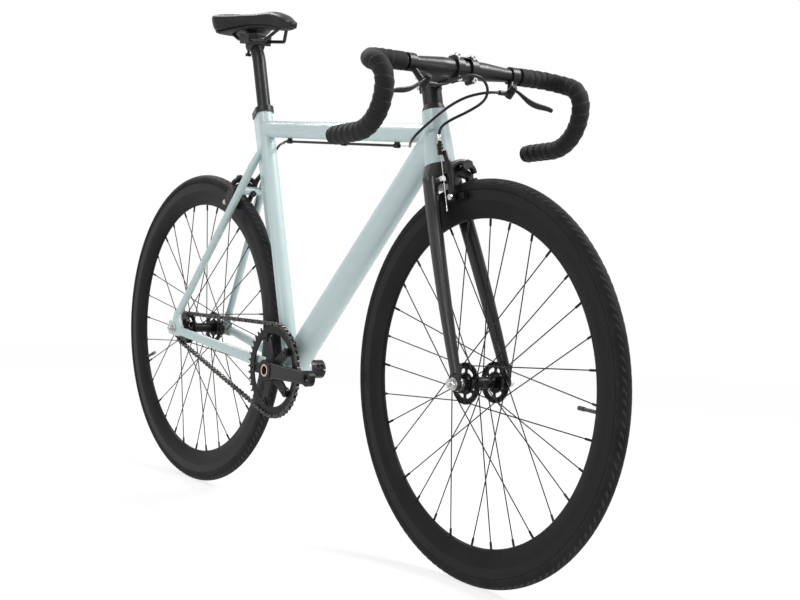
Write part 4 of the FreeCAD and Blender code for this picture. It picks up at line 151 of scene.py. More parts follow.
class BikeSaddle(bpy.types.PropertyGroup):
    """Saddle form, from its rear to its nose."""
    rear: place("Rear", (-0.428919, 0.0, 0.971984), "Rear end of the underside line")
    reach: length("Length", 0.268, "Length of the saddle")
    half_width: length("Half width", 0.067, "Half of the greatest width")
    depth: length("Depth", 0.042, "Full height of the padding")
    tilt: angle("Tilt", 1.7, "Fall of the underside line towards the nose")
    crown: length("Crown", 0.005, "Rise of the middle over the sides")
    stations: shares("Stations", (0.0, 0.06, 0.2, 0.36, 0.56, 0.78, 0.93, 1.0), "Places, as shares")
    widths: shares("Widths", (0.5, 0.66, 0.985, 0.82, 0.46, 0.3, 0.24, 0.14), "Half widths, as shares")
    rises: shares("Rises", (0.86, 0.965, 0.99, 0.88, 0.87, 0.92, 0.66, 0.34), "Top heights, as shares")
    bellies: shares("Bellies", (0.43, 0.23, 0.0, 0.14, 0.3, 0.22, 0.07, 0.05), "Low edges, as shares")
    foot: share("Foot", 0.84, "Half width of the underside, as a share")
    flank: share("Flank", 0.6, "Half width of the top, as a share")
    shoulder: share("Shoulder", 0.62, "Height of the widest line, as a share")
    seam: length("Seam", 0.0009, "Depth of the sewn panel line")
    dome: length("Dome", 0.006, "Rounding of the two ends")
    shell: length("Shell", 0.006, "Thickness of the moulded base in its middle")
    shell_edge: length("Shell edge", 0.0015, "Thickness at both ends, and reach into the cover")
    shell_width: share("Shell width", 0.82, "Half width of the base, as a share")


class BikeTape(bpy.types.PropertyGroup):
    """Handlebar line and the tape wound on it."""
    bar_centre: place("Bar centre", (0.386554, 0.0, 0.854136), "Middle of the bar in the stem")
    half_width: length("Half width", 0.21, "From the middle of the bar to a drop")
    corner_radius: length("Corner radius", 0.045, "Bend from the flats to the drops")
    corner_drop: angle("Corner drop", 15.0, "Fall of the ramps")
    upper_radius: length("Upper radius", 0.038, "Bend at the top of the hooks")
    lower_radius: length("Lower radius", 0.073, "Bend below")
    slope: angle("Slope", 4.4, "Slope of the lower ends")
    straight: length("Straight", 0.066, "Straight lower end")
    bar_radius: length("Bar radius", 0.0119, "Radius of the bar under the tape")
    start: length("Start", 0.124, "Where the tape starts, along the bar from its middle")
    low: length("Low", 0.0025, "Thickness at the low edge of a wrap")
    high: length("High", 0.0038, "Thickness at the overlap")
    wraps: count("Wraps", 21, "Turns of tape on each side")
    band: length("Band", 0.019, "Width of the finishing band next to the lever")


class BikeHoses(bpy.types.PropertyGroup):
    """Brake hoses."""
    radius: length("Radius", 0.0024, "Outer radius of a hose")
    wire_radius: length("Wire radius", 0.0008, "Radius of the bare brake wire")
    wire_strands: count("Strands", 6, "Strands seen round the bare wire")
    wire_lay: length("Lay", 0.011, "Length of one turn of the strands")
    cap_length: length("Cap length", 0.012, "Length of the metal cap on the end at a calliper")
    cap_wall: length("Cap wall", 0.0005, "Wall of the metal cap")


class BikeArms(bpy.types.PropertyGroup):
    """Outer brake arms."""
    depth: length("Depth", 0.0048, "Half thickness of an arm")
    corner: share("Corner", 0.62, "Power that rounds the section: one is an oval, zero a box")
    hub_bore: length("Hub bore", 0.0035, "Radius of the hole round the pivot")
    hub_radius: length("Hub radius", 0.0085, "Outer radius of the eye round the pivot")
    barrel_bore: length("Barrel bore", 0.0034, "Radius of the hole for the wire")
    barrel_side: length("Barrel side", -0.050, "Barrel's place across, from the pivot")
    barrel_back: length("Barrel back", -0.00655, "Barrel's place outwards, from the middle of the arm")


# Mesh helpers

def surface_piece(name, points, along=False, caps=False):
    """Object from a grid of points, whose rows each close on themselves.

    Each grid cell is one four sided face. With along, the last row joins the first.
    With caps, the first and last rows are closed by one face each.
    """
    rows, columns = points.shape[:2]
    index = np.arange(rows * columns).reshape(rows, columns)
    index = np.concatenate([index, index[:, :1]], axis=1)
    if along:
        index = np.concatenate([index, index[:1]], axis=0)
    cells = np.stack([index[:-1, :-1], index[:-1, 1:], index[1:, 1:], index[1:, :-1]], axis=-1)
    faces = cells.reshape(-1, 4).tolist()
    if caps:
        faces.append(list(range(columns - 1, -1, -1)))
        faces.append(list(range((rows - 1) * columns, rows * columns)))
    mesh = bpy.data.meshes.new(name)
    mesh.from_pydata(points.reshape(-1, 3).tolist(), [], faces)
    mesh.polygons.foreach_set("use_smooth", np.ones(len(mesh.polygons), dtype=bool))
    mesh.update()
    piece = bpy.data.objects.new(name, mesh)
    bpy.context.scene.collection.objects.link(piece)
    return piece


def mark_points(piece, name, values):
    """Value at each point of a piece, for its finish to read."""
    made = piece.data.attributes.new(name, "FLOAT", "POINT")
    made.data.foreach_set("value", values.astype(np.float32).ravel())


def unit_rows(vectors):
    """Each row divided by its length."""
    return vectors / np.linalg.norm(vectors, axis=-1, keepdims=True)


def path_frames(line):
    """Two unit normals at each point of a line, carried along without twist."""
    tangents = unit_rows(np.gradient(line, axis=0))
    normal = np.cross(tangents[0], np.eye(3)[np.argmin(np.abs(tangents[0]))])
    normals = np.empty_like(tangents)
    for station, tangent in enumerate(tangents):
        normal = normal - tangent * normal.dot(tangent)
        normal = normal / np.linalg.norm(normal)
        normals[station] = normal
    return normals, np.cross(tangents, normals)


def tube_points(line, radii, turns):
    """Grid of points round a line: the radius may differ at each station and each turn angle."""
    first, second = path_frames(line)
    radii = np.broadcast_to(np.reshape(radii, (-1, 1)) if np.ndim(radii) == 1 else radii,
                            (len(line), len(turns)))
    ring = first[:, None] * np.cos(turns)[:, None] + second[:, None] * np.sin(turns)[:, None]
    return line[:, None] + ring * radii[..., None]


def round_turns(steps, start=0.0):
    """Evenly spaced angles round a full turn, from a start given in steps."""
    return (np.arange(steps) + start) * (2 * math.pi / steps)


def smooth_step(values, low, high):
    """Cubic ease from 0 at low to 1 at high."""
    ratio = np.clip((values - low) / (high - low), 0.0, 1.0)
    return ratio * ratio * (3 - 2 * ratio)


def cardinal_weights(t):
    """Weights of the four nearest points of a cardinal spline, at a share t of the span between two."""
    return np.stack([
        -0.5 * t + t ** 2 - 0.5 * t ** 3, 1 - 2.5 * t ** 2 + 1.5 * t ** 3,
        0.5 * t + 2 * t ** 2 - 1.5 * t ** 3, -0.5 * t ** 2 + 0.5 * t ** 3], axis=1)


def squared_off(values, power):
    """Cosines or sines of a turn drawn out towards a box: sign(v) |v|^p."""
    return np.sign(values) * np.abs(values) ** power


def mirrored(points):
    """The same grid on the other side of the bicycle, with its faces still turned outwards."""
    return (points * (1, -1, 1))[:, ::-1]


# Finish helper

class Finish:
    """A node material in the making: one Principled shader, and nodes that vary its sockets."""

    def __init__(self, name, base, roughness, **sockets):
        self.material = bpy.data.materials.new(name)
        self.material.use_nodes = True
        self.tree = self.material.node_tree
        self.shader = self.tree.nodes["Principled BSDF"]
        self.base = np.array(base[:])
        self.roughness = roughness
        self.material.diffuse_color = (*self.base, 1.0)
        self.shader.inputs["Base Color"].default_value = (*self.base, 1.0)
        self.shader.inputs["Roughness"].default_value = roughness
        for socket, value in sockets.items():
            self.shader.inputs[SOCKETS.get(socket, socket.title())].default_value = value
        self.place = self.node("ShaderNodeTexCoord").outputs["Object"]
        self.shade = (*self.base, 1.0)
        self.normal = None

    def node(self, kind, sockets=None, **options):
        """New node with its options set and its sockets fed by values or by other nodes."""
        made = self.tree.nodes.new(kind)
        for key, value in options.items():
            setattr(made, key, value)
        for key, value in (sockets or {}).items():
            self.feed(made.inputs[key], value)
        return made

    def feed(self, socket, value):
        """Link a node's output to a socket, or set the socket's value."""
        if isinstance(value, bpy.types.NodeSocket):
            self.tree.links.new(value, socket)
        else:
            socket.default_value = value

    def noise(self, scale, detail=3.0, stretch=None):
        """Cloudy pattern with patches of about one over scale metres."""
        vector = self.place
        if stretch:
            vector = self.node("ShaderNodeMapping", {"Vector": vector, "Scale": stretch}).outputs[0]
        sockets = {"Vector": vector, "Scale": scale, "Detail": detail}
        return self.node("ShaderNodeTexNoise", sockets).outputs[0]

    def rings(self, radius, scale):
        """Random bands by radius, each about one over scale metres wide."""
        sockets = {"W": radius, "Scale": scale, "Detail": 2.0}
        return self.node("ShaderNodeTexNoise", sockets, noise_dimensions="1D").outputs[0]

    def cells(self, scale):
        """Distance from the middles of random cells of about one over scale metres."""
        sockets = {"Vector": self.place, "Scale": scale}
        return self.node("ShaderNodeTexVoronoi", sockets).outputs["Distance"]

    def ranged(self, value, low, high, start, end):
        """Value mapped from low and high to start and end, held at both."""
        return self.node("ShaderNodeMapRange", {
            "Value": value, "From Min": low, "From Max": high, "To Min": start, "To Max": end,
        }).outputs[0]

    def sum(self, kind, first, second=0.0):
        """One sum of two values."""
        return self.node("ShaderNodeMath", {0: first, 1: second}, operation=kind).outputs[0]

    def vector(self, kind, first, second, output="Vector"):
        """One vector sum."""
        return self.node("ShaderNodeVectorMath", {0: first, 1: second}, operation=kind).outputs[output]

    def mixed(self, factor, first, second):
        """Colour between two colours."""
        return self.node("ShaderNodeMix", {0: factor, 6: first, 7: second}, data_type="RGBA").outputs[2]

    def attribute(self, name):
        """Value that the mesh carries at each point."""
        return self.node("ShaderNodeAttribute", attribute_name=name).outputs["Fac"]

    def axis(self, name):
        """One coordinate of the place."""
        return self.node("ShaderNodeSeparateXYZ", {0: self.place}).outputs[name]

    def size_of(self, vector):
        """Length of a vector."""
        return self.node("ShaderNodeVectorMath", {0: vector}, operation="LENGTH").outputs["Value"]

    def radius_about(self, centre):
        """Distance from an axle through a centre, across the bicycle."""
        away = self.vector("SUBTRACT", self.place, centre)
        return self.size_of(self.vector("MULTIPLY", away, (1.0, 0.0, 1.0)))

    def off_line(self, point, way):
        """Distance from a straight line."""
        away = self.vector("SUBTRACT", self.place, point)
        return self.size_of(self.vector("CROSS_PRODUCT", away, way))

    def wander(self, pattern, spread):
        """Colour that is lighter and darker by a share, as a pattern goes."""
        dark = (*(self.base * (1 - spread)), 1.0)
        light = (*np.minimum(self.base * (1 + spread), 1.0), 1.0)
        self.shade = self.mixed(self.ranged(pattern, *NOISE_SPAN, 0.0, 1.0), dark, light)
        return self

    def mottle(self, scale, spread):
        """Colour that wanders in cloudy patches."""
        return self.wander(self.noise(scale), spread)

    def gloss(self, scale, spread):
        """Roughness that wanders about its own value."""
        low, high = self.roughness - spread, min(self.roughness + spread, 1.0)
        pattern = self.ranged(self.noise(scale, 2.0), *NOISE_SPAN, low, high)
        self.feed(self.shader.inputs["Roughness"], pattern)
        return self

    def vary(self, socket, factor, start, end):
        """Shader socket that runs from start to end as a factor runs from zero to one."""
        self.feed(self.shader.inputs[socket], self.ranged(factor, 0.0, 1.0, start, end))
        return self

    def bump(self, height, strength, distance):
        """Small relief on top of any that is there already."""
        sockets = {"Height": height, "Strength": strength, "Distance": distance}
        if self.normal:
            sockets["Normal"] = self.normal
        self.normal = self.node("ShaderNodeBump", sockets).outputs[0]
        return self

    def grain(self, scale, detail, strength, distance):
        """Small cloudy relief."""
        return self.bump(self.noise(scale, detail), strength, distance)

    def tint(self, factor, other):
        """Another colour where the factor is one."""
        self.shade = self.mixed(factor, self.shade, (*other, 1.0))
        return self

    def done(self):
        """The finished material."""
        self.feed(self.shader.inputs["Base Color"], self.shade)
        if self.normal:
            self.feed(self.shader.inputs["Normal"], self.normal)
        return self.material


# Finishes

# Spans in metres over which one finish gives way to another: brake track of a rim, holder and
# bolt head of a brake block, wire and bolt of a brake arm, spindle in the crank
TRACK_IN, TRACK_OUT = (0.3005, 0.3015), (0.3165, 0.3172)
PAD_HOLDER, PAD_HEAD = (0.01822, 0.01832), (0.0299, 0.0301)
WIRE_EDGE, BOLT_EDGE, BOLT_FACE = (0.00165, 0.00170), (0.00470, 0.00475), (0.00005, 0.00015)
SPINDLE_EDGE = (0.01205, 0.01210)
DUST = (0.032, 0.031, 0.029)
# How much lighter the polished brake track, the grooves of a tyre and the rubbed edges of the tape
# are than the rest, and how far the last two cover it
TRACK_LIGHT, GROOVE_LIGHT, EDGE_LIGHT = 1.9, 4.5, 2.4
GROOVE_COVER, EDGE_COVER = 0.8, 0.5


def plain_finish(name, base, roughness, mottle, gloss, grain, **sockets):
    """Even finish with mottled colour, wandering gloss and fine grain.

    mottle and gloss are scale and spread, and grain is scale, detail, strength and depth.
    """
    finish = Finish(name, base, roughness, **sockets)
    return finish.mottle(*mottle).gloss(*gloss).grain(*grain).done()


def paint_finish(colours):
    """Satin paint with a faint orange peel and slightly uneven colour."""
    return plain_finish(
        "frame_paint", colours.paint, roughness=0.36, mottle=(7.0, 0.025), gloss=(40.0, 0.05),
        grain=(520.0, 3.0, 0.05, 0.0004), coat_weight=0.35, coat_roughness=0.22)


def satin_finish(name, base, roughness=0.36):
    """Bead blasted and anodised alloy: fine even grain, faint handling marks."""
    return plain_finish(
        name, base, roughness, mottle=(22.0, 0.14), gloss=(65.0, 0.04),
        grain=(1400.0, 2.0, 0.03, 0.0002), metallic=0.15, specular=0.24)


def fork_finish(colours):
    """Satin black paint."""
    return plain_finish(
        "fork_paint", colours.fork, roughness=0.31, mottle=(9.0, 0.08), gloss=(45.0, 0.05),
        grain=(600.0, 3.0, 0.05, 0.0004), specular=0.3)


def chain_finish(colours):
    """Dark oiled steel, lighter and darker in small random patches."""
    return plain_finish(
        "chain_steel", colours.dark, roughness=0.36, mottle=(160.0, 0.4), gloss=(220.0, 0.14),
        grain=(1500.0, 3.0, 0.10, 0.0002), metallic=0.9)


def hose_finish(colours):
    """Slick plastic sheath with a faint unevenness."""
    return plain_finish(
        "brake_hose", colours.hose, roughness=0.36, mottle=(50.0, 0.2), gloss=(80.0, 0.06),
        grain=(700.0, 3.0, 0.06, 0.0003), specular=0.2)


def plastic_finish(colours):
    """Moulded black plastic with a fine spark texture."""
    return plain_finish(
        "moulded_plastic", colours.plastic, roughness=0.50, mottle=(40.0, 0.15), gloss=(70.0, 0.06),
        grain=(1900.0, 2.0, 0.18, 0.0003), specular=0.15)


def turned_finish(name, base, centre, roughness, pitch):
    """Metal turned about an axle: rings of slightly different brightness and fine grooves."""
    finish = Finish(name, base, roughness, metallic=0.5, specular=0.14)
    rings = finish.rings(finish.radius_about(centre), 1.0 / pitch)
    finish.wander(rings, 0.18).gloss(50.0, 0.06)
    return finish.bump(rings, 0.08, 0.0003).done()


def rim_finish(colours, name, centre):
    """Anodised rim whose brake track is polished in rings by the brake blocks."""
    finish = Finish(name, colours.rim, roughness=0.40, metallic=0.2, specular=0.08)
    radius = finish.radius_about(centre)
    rings = finish.rings(radius, 2600.0)
    track = finish.sum("MULTIPLY", finish.ranged(radius, *TRACK_IN, 0.0, 1.0),
                       finish.ranged(radius, *TRACK_OUT, 1.0, 0.0))
    worn = finish.sum("MULTIPLY", track, finish.ranged(rings, 0.35, 0.65, 0.2, 0.75))
    finish.mottle(18.0, 0.12).tint(worn, finish.base * TRACK_LIGHT).vary("Roughness", track, 0.42, 0.31)
    finish.bump(finish.sum("MULTIPLY", rings, track), 0.12, 0.0003)
    return finish.grain(2400.0, 2.0, 0.06, 0.0002).done()


def steel_finish(name, base, roughness):
    """Bare plated steel with fine scratches and a little grime."""
    finish = Finish(name, base, roughness, metallic=1.0)
    finish.mottle(90.0, 0.16).gloss(140.0, 0.09)
    return finish.bump(finish.noise(900.0, 4.0, stretch=(1.0, 6.0, 1.0)), 0.08, 0.0002).done()


def rubber_finish(name, base):
    """Dull moulded rubber with a fine skin and a trace of dust, paler in its grooves."""
    finish = Finish(name, base, roughness=0.66, specular=0.10)
    finish.mottle(26.0, 0.22).gloss(60.0, 0.09)
    pale = finish.sum("MULTIPLY", finish.attribute("groove"), GROOVE_COVER)
    finish.tint(pale, finish.base * GROOVE_LIGHT)
    finish.tint(finish.ranged(finish.noise(9.0, 5.0), 0.52, 0.8, 0.0, 0.22), DUST)
    return finish.grain(2200.0, 3.0, 0.16, 0.0002).done()


def pad_finish(colours):
    """Rubber block near the rim, dark alloy holder outside it and a bare bolt head."""
    finish = Finish("brake_pad", colours.rubber, roughness=0.62, specular=0.12)
    side = finish.sum("ABSOLUTE", finish.axis("Y"))
    outside = finish.ranged(side, *PAD_HOLDER, 0.0, 1.0)
    head = finish.ranged(side, *PAD_HEAD, 0.0, 1.0)
    finish.mottle(60.0, 0.2).tint(outside, colours.satin[:]).tint(head, colours.silver[:])
    metal = finish.sum("MAXIMUM", finish.sum("MULTIPLY", outside, 0.4), head)
    finish.feed(finish.shader.inputs["Metallic"], metal)
    return finish.vary("Roughness", outside, 0.7, 0.36).grain(1800.0, 3.0, 0.12, 0.0002).done()


def arm_finish(colours, name, wire_point, wire_way, anchor_point, anchor_way):
    """Satin brake arm whose wire and anchor bolt are bare steel."""
    finish = Finish(name, colours.satin, roughness=0.30, specular=0.34)
    wire = finish.ranged(finish.off_line(wire_point, wire_way), *WIRE_EDGE, 1.0, 0.0)
    near = finish.ranged(finish.off_line(anchor_point, anchor_way), *BOLT_EDGE, 1.0, 0.0)
    away = finish.vector("SUBTRACT", finish.place, anchor_point)
    outward = finish.vector("DOT_PRODUCT", away, anchor_way, "Value")
    bolt = finish.sum("MULTIPLY", near, finish.ranged(outward, *BOLT_FACE, 0.0, 1.0))
    bare = finish.sum("MAXIMUM", wire, bolt)
    finish.mottle(24.0, 0.14).tint(bare, colours.silver[:])
    finish.vary("Metallic", bare, 0.35, 1.0).vary("Roughness", bare, 0.38, 0.27)
    return finish.grain(2400.0, 2.0, 0.08, 0.0002).done()


def crank_finish(colours, centre):
    """Satin crank whose hollow spindle shows a bare coppery ring in the middle."""
    finish = Finish("crank_black", colours.satin, roughness=0.36, specular=0.16)
    bare = finish.ranged(finish.radius_about(centre), *SPINDLE_EDGE, 1.0, 0.0)
    finish.mottle(22.0, 0.14).tint(bare, colours.copper[:])
    finish.vary("Metallic", bare, 0.25, 1.0).vary("Roughness", bare, 0.36, 0.24)
    return finish.grain(2600.0, 2.0, 0.10, 0.0002).done()


def tape_finish(colours):
    """Soft foam tape: pitted skin, lighter where the edges of the wraps rub."""
    finish = Finish("bar_tape", colours.tape, roughness=0.74, specular=0.14, sheen=0.05)
    rubbed = finish.sum("MULTIPLY", finish.attribute("wrap_edge"), EDGE_COVER)
    finish.mottle(70.0, 0.2).tint(rubbed, finish.base * EDGE_LIGHT)
    return finish.bump(finish.cells(900.0), 0.25, 0.0003).grain(1500.0, 4.0, 0.25, 0.0003).done()


def leather_finish(colours):
    """Smooth black cover with a fine pebbled grain and soft sheen."""
    finish = Finish("saddle_leather", colours.leather, roughness=0.44, specular=0.18)
    finish.mottle(30.0, 0.18).gloss(55.0, 0.07)
    return finish.bump(finish.cells(1050.0), 0.16, 0.0003).grain(420.0, 4.0, 0.07, 0.0004).done()


def coat(piece, material):
    """Give a piece its one material."""
    piece.data.materials.clear()
    piece.data.materials.append(material)


def middle_of(node):
    """Middle of a solid's box."""
    low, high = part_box(node)
    return tuple((low + high) / 2)


# Operators

class BIKE_OT_finishes(bpy.types.Operator):
    """Give every solid of the bicycle that is seen its finish"""
    bl_idname = "bike.finishes"
    bl_label = "Finishes"

    def execute(self, context):
        colours = context.scene.bike_colours
        groups = (
            (paint_finish(colours), (
                "head_tube", "top_tube", "down_tube", "seat_tube", "bottom_bracket_shell", "chainstays",
                "seatstays", "rear_dropouts")),
            (fork_finish(colours), ("fork_crown", "fork_blades")),
            (satin_finish("satin_black", colours.satin), (
                "seatpost", "saddle_clamp", "saddle_rails", "headset_spacers", "headset_bearings",
                "stem", "stem_faceplate", "handlebar", "lever_clamps", "brake_lever_left",
                "brake_lever_right", "seat_clamp", "bottom_bracket_cups", "crank_arm_left",
                "front_brake_bolt", "rear_brake_bolt", "chainring_bolts")),
            (steel_finish("silver_steel", colours.silver, roughness=0.30), (
                "front_axle", "rear_axle", "stem_bolts")),
            (steel_finish("dark_fastener", colours.dark, roughness=0.34), (
                "rear_cog", "front_inner_tube", "rear_inner_tube")),
            (chain_finish(colours), ("chain",)),
            (steel_finish("black_spoke", colours.spoke, roughness=0.34), (
                "front_spokes", "rear_spokes")),
            (plastic_finish(colours), ("bar_end_plugs", "cable_guides")),
            (pad_finish(colours), (
                "front_brake_pad_right", "front_brake_pad_left", "rear_brake_pad_left",
                "rear_brake_pad_right")),
        )
        for material, names in groups:
            for name in names:
                coat(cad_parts[name], material)
        for side_name in WHEELS:
            centre = middle_of(side_name + "_rim")
            coat(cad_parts[side_name + "_rim"],
                 rim_finish(colours, side_name + "_rim_black", centre))
            coat(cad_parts[side_name + "_hub"], turned_finish(
                side_name + "_hub_black", colours.satin, centre, roughness=0.33, pitch=0.0012))
        ring_centre = middle_of("chainring")
        coat(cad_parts["chainring"], turned_finish(
            "chainring_black", colours.satin, ring_centre, roughness=0.36, pitch=0.0009))
        coat(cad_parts["crank_arm_right"], crank_finish(colours, ring_centre))
        self.brake_arms(colours)
        return {"FINISHED"}

    def brake_arms(self, colours):
        """Arms that carry the end of the brake wire."""
        # Point and direction of the wire, then of the anchor bolt
        rows = (
            ("front_brake_arm_left", (0.400512, -0.035, 0.657187), (-0.26892, 0.0, 0.963163),
             (0.396735, -0.039, 0.667553), (0.963163, 0.0, 0.26892)),
            ("rear_brake_arm_right", (-0.323275, 0.035, 0.636683), (0.547527, 0.0, 0.836788),
             (-0.322016, 0.039, 0.637055), (-0.836788, 0.0, 0.547527)),
        )
        for name, *lines in rows:
            coat(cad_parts[name], arm_finish(colours, name + "_finish", *lines))


class BIKE_OT_tyres(bpy.types.Operator):
    """Make the two tyres with grooved shoulders and moulded side lines"""
    bl_idname = "bike.tyres"
    bl_label = "Tyres"

    groove_steps = 8
    tread_steps = 34
    inner_stride = 3
    # Shares of the grooves' two ends over which they run out
    inner_fade = 1.25
    outer_fade = 0.96
    # Part of each wave that makes a groove's wall
    groove_wall = (0.55, 0.85)
    # Heights of the two moulded lines above the section's middle, and their width, as shares
    rib_heights = (0.10, -0.14)
    rib_width = 0.05

    def section(self, sizes):
        """Closed section as rows of side distance and radius.

        Outer arc: angle a from the edge on one side over the crown to the other,
        side = R cos a, radius = C + R sin a. The inner arc runs back one wall thickness inside.
        """
        round_radius = sizes.width / 2
        middle = sizes.radius - round_radius
        start = math.asin((sizes.rim_edge - middle) / round_radius)
        outer = np.linspace(start, math.pi - start, self.tread_steps)
        inner = outer[::-1][::self.inner_stride]
        inner_radius = round_radius - sizes.wall
        sides = np.concatenate([np.cos(outer) * round_radius, np.cos(inner) * inner_radius])
        radii = np.concatenate([np.sin(outer) * round_radius, np.sin(inner) * inner_radius]) + middle
        tread = np.concatenate([np.ones_like(outer), np.zeros_like(inner)])
        return sides, radii, tread, middle, round_radius

    def execute(self, context):
        sizes = context.scene.bike_tyre
        material = rubber_finish("tyre_rubber", context.scene.bike_colours.rubber)
        sides, radii, tread, middle, round_radius = self.section(sizes)
        stations = sizes.grooves * self.groove_steps
        turn = round_turns(stations)[:, None]
        reach = np.abs(sides)
        band = smooth_step(reach, sizes.groove_inner, sizes.groove_inner * self.inner_fade)
        outer_start = sizes.groove_outer * self.outer_fade
        band = band * (1 - smooth_step(reach, outer_start, sizes.groove_outer)) * tread
        wave = np.cos(turn * sizes.grooves)
        groove = sizes.groove_depth * smooth_step(wave, *self.groove_wall) * band
        above = (radii - middle) / round_radius
        ribs = sum(np.exp(-((above - height) / self.rib_width) ** 2) for height in self.rib_heights)
        lift = sizes.rib_height * ribs * tread - groove
        lean = np.clip(reach, sizes.groove_inner, sizes.groove_outer) - sizes.groove_inner
        lean = lean / (sizes.groove_outer - sizes.groove_inner) * (sizes.groove_lean / sizes.radius)
        shift = np.where(sides > 0, 0.0, math.pi / sizes.grooves)
        angles = turn + (lean + shift) * tread
        grown = 1 + lift / round_radius
        radial = middle + (radii - middle) * grown
        across = sides * grown
        for side_name, body in WHEELS.items():
            centre = middle_of(side_name + "_rim")
            points = np.stack([
                centre[0] + radial * np.cos(angles),
                np.broadcast_to(across, radial.shape),
                centre[2] + radial * np.sin(angles),
            ], axis=-1)
            tyre = surface_piece(side_name + "_tyre_tread", points, along=True)
            mark_points(tyre, "groove", groove / sizes.groove_depth)
            coat(tyre, material)
            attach(tyre, body)
            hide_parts(side_name + "_tyre")
        return {"FINISHED"}


class BIKE_OT_saddle(bpy.types.Operator):
    """Make the padded saddle cover with its sewn line, and the moulded shell under it"""
    bl_idname = "bike.saddle"
    bl_label = "Saddle"

    rows = 110
    columns = 72
    dome_rows = 9
    seam_share = 0.115
    seam_width = 0.008
    seam_slant = 0.035
    seam_fade = (0.5, 0.75)
    # Reach and steps of the average that softens the rows of shares
    ease_reach = 0.05
    ease_steps = 21
    # Places of the section's points across, as shares of the foot, the half width and the flank
    foot_inner, foot_outer, upper_side, flank_side = 0.8, 1.06, 0.88, 0.8
    # Their heights, as shares of the padding, of the upper side and of the crown
    foot_rise, upper_drop, crown_rise = 0.07, 0.30, 0.45
    # Rows left free of the shell at both ends, places where it thickens, and powers of its section
    shell_trim = 3
    shell_grows, shell_thins = (0.0, 0.15), (0.82, 1.0)
    side_power, height_power = 0.5, 0.7
    # Size of the last ring of a domed end, as a share
    tip = 0.03

    def eased(self, sizes, values, at):
        """Row of shares read at any place along the length, averaged over a short stretch."""
        spread = np.linspace(-self.ease_reach, self.ease_reach, self.ease_steps)
        read = np.interp(at[:, None] + spread, sizes.stations[:], values[:])
        return read.mean(axis=1)

    def half_section(self, half, belly, top, sizes):
        """Seven points of the right half of each section, for a spline to join.

        They run from the middle of the underside round the foot, the widest line and
        the flank to the crest.
        """
        flank = top - sizes.crown * half / sizes.half_width
        shoulder = belly + (top - belly) * sizes.shoulder
        zero = np.zeros_like(half)
        across = np.stack([
            zero, half * sizes.foot * self.foot_inner, half * sizes.foot * self.foot_outer, half,
            half * self.upper_side, half * sizes.flank * self.flank_side, zero], axis=1)
        height = np.stack([
            belly, belly, belly + (top - belly) * self.foot_rise, shoulder,
            flank - (flank - shoulder) * self.upper_drop, flank + (top - flank) * self.crown_rise,
            top], axis=1)
        return across, height

    def spline(self, rows, sign):
        """Cardinal spline through the points of each row, mirrored at both ends about the middle plane.

        Beyond the plane the values have the sign: -1 for places across, 1 for heights.
        """
        last = rows.shape[1] - 1
        at = np.linspace(0, last, self.columns // 2 + 1)
        first = np.minimum(at.astype(int), last - 1)
        index = first[:, None] + NEAREST
        weights = cardinal_weights(at - first) * np.where((index < 0) | (index > last), sign, 1.0)
        index = np.abs(index)
        index = np.where(index > last, 2 * last - index, index)
        return (rows[:, index] * weights).sum(axis=2)

    def execute(self, context):
        sizes = context.scene.bike_saddle
        at = np.linspace(0.0, 1.0, self.rows)
        half = sizes.half_width * self.eased(sizes, sizes.widths, at)
        top = sizes.depth * self.eased(sizes, sizes.rises, at)
        belly = sizes.depth * self.eased(sizes, sizes.bellies, at)
        across, height = self.half_section(half, belly, top, sizes)
        across, height = self.spline(across, -1.0), self.spline(height, 1.0)
        sides = np.concatenate([across, -across[:, -2:0:-1]], axis=1)
        heights = np.concatenate([height, height[:, -2:0:-1]], axis=1)
        drawn = np.abs(sides) / half[:, None]
        off_seam = at[:, None] - self.seam_share - self.seam_slant * (1 - drawn)
        seam = np.exp(-(off_seam / self.seam_width) ** 2)
        sides = sides * (1 - seam * sizes.seam / half[:, None] * smooth_step(drawn, *self.seam_fade))
        base = sizes.rear[2] - math.tan(sizes.tilt) * sizes.reach * at
        points = self.domed(self.stood(sizes, at, sides, base[:, None] + heights), sizes.dome)
        cover = surface_piece("saddle_padding", points, caps=True)
        coat(cover, leather_finish(context.scene.bike_colours))
        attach(cover, "saddle")
        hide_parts("saddle_cover")
        inside = slice(self.shell_trim, -self.shell_trim)
        self.shell(context, sizes, at[inside], half[inside], (base + belly)[inside])
        return {"FINISHED"}

    def shell(self, context, sizes, at, half, height):
        """Moulded base under the cover, thin at both ends.

        Each section is a flattened round: side = w sign(c) |c|^0.5, height = h sign(s) |s|^0.7
        with c = cos u and s = sin u.
        """
        thick = smooth_step(at, *self.shell_grows) * (1 - smooth_step(at, *self.shell_thins))
        thick = sizes.shell * thick + sizes.shell_edge
        turns = round_turns(self.columns, start=0.5)
        across = squared_off(np.cos(turns), self.side_power)
        upward = squared_off(np.sin(turns), self.height_power)
        depth = (thick + sizes.shell_edge) / 2
        middle = height + sizes.shell_edge - depth
        sides = across * (half * sizes.shell_width)[:, None]
        points = self.stood(sizes, at, sides, middle[:, None] + upward * depth[:, None])
        shell = surface_piece("saddle_shell", points, caps=True)
        coat(shell, plastic_finish(context.scene.bike_colours))
        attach(shell, "saddle")
        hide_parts("saddle_base")

    def stood(self, sizes, at, sides, heights):
        """Grid of points with each section at its place along the saddle."""
        along = (sizes.rear[0] + sizes.reach * at)[:, None]
        return np.stack(np.broadcast_arrays(along, sides, heights), axis=-1)

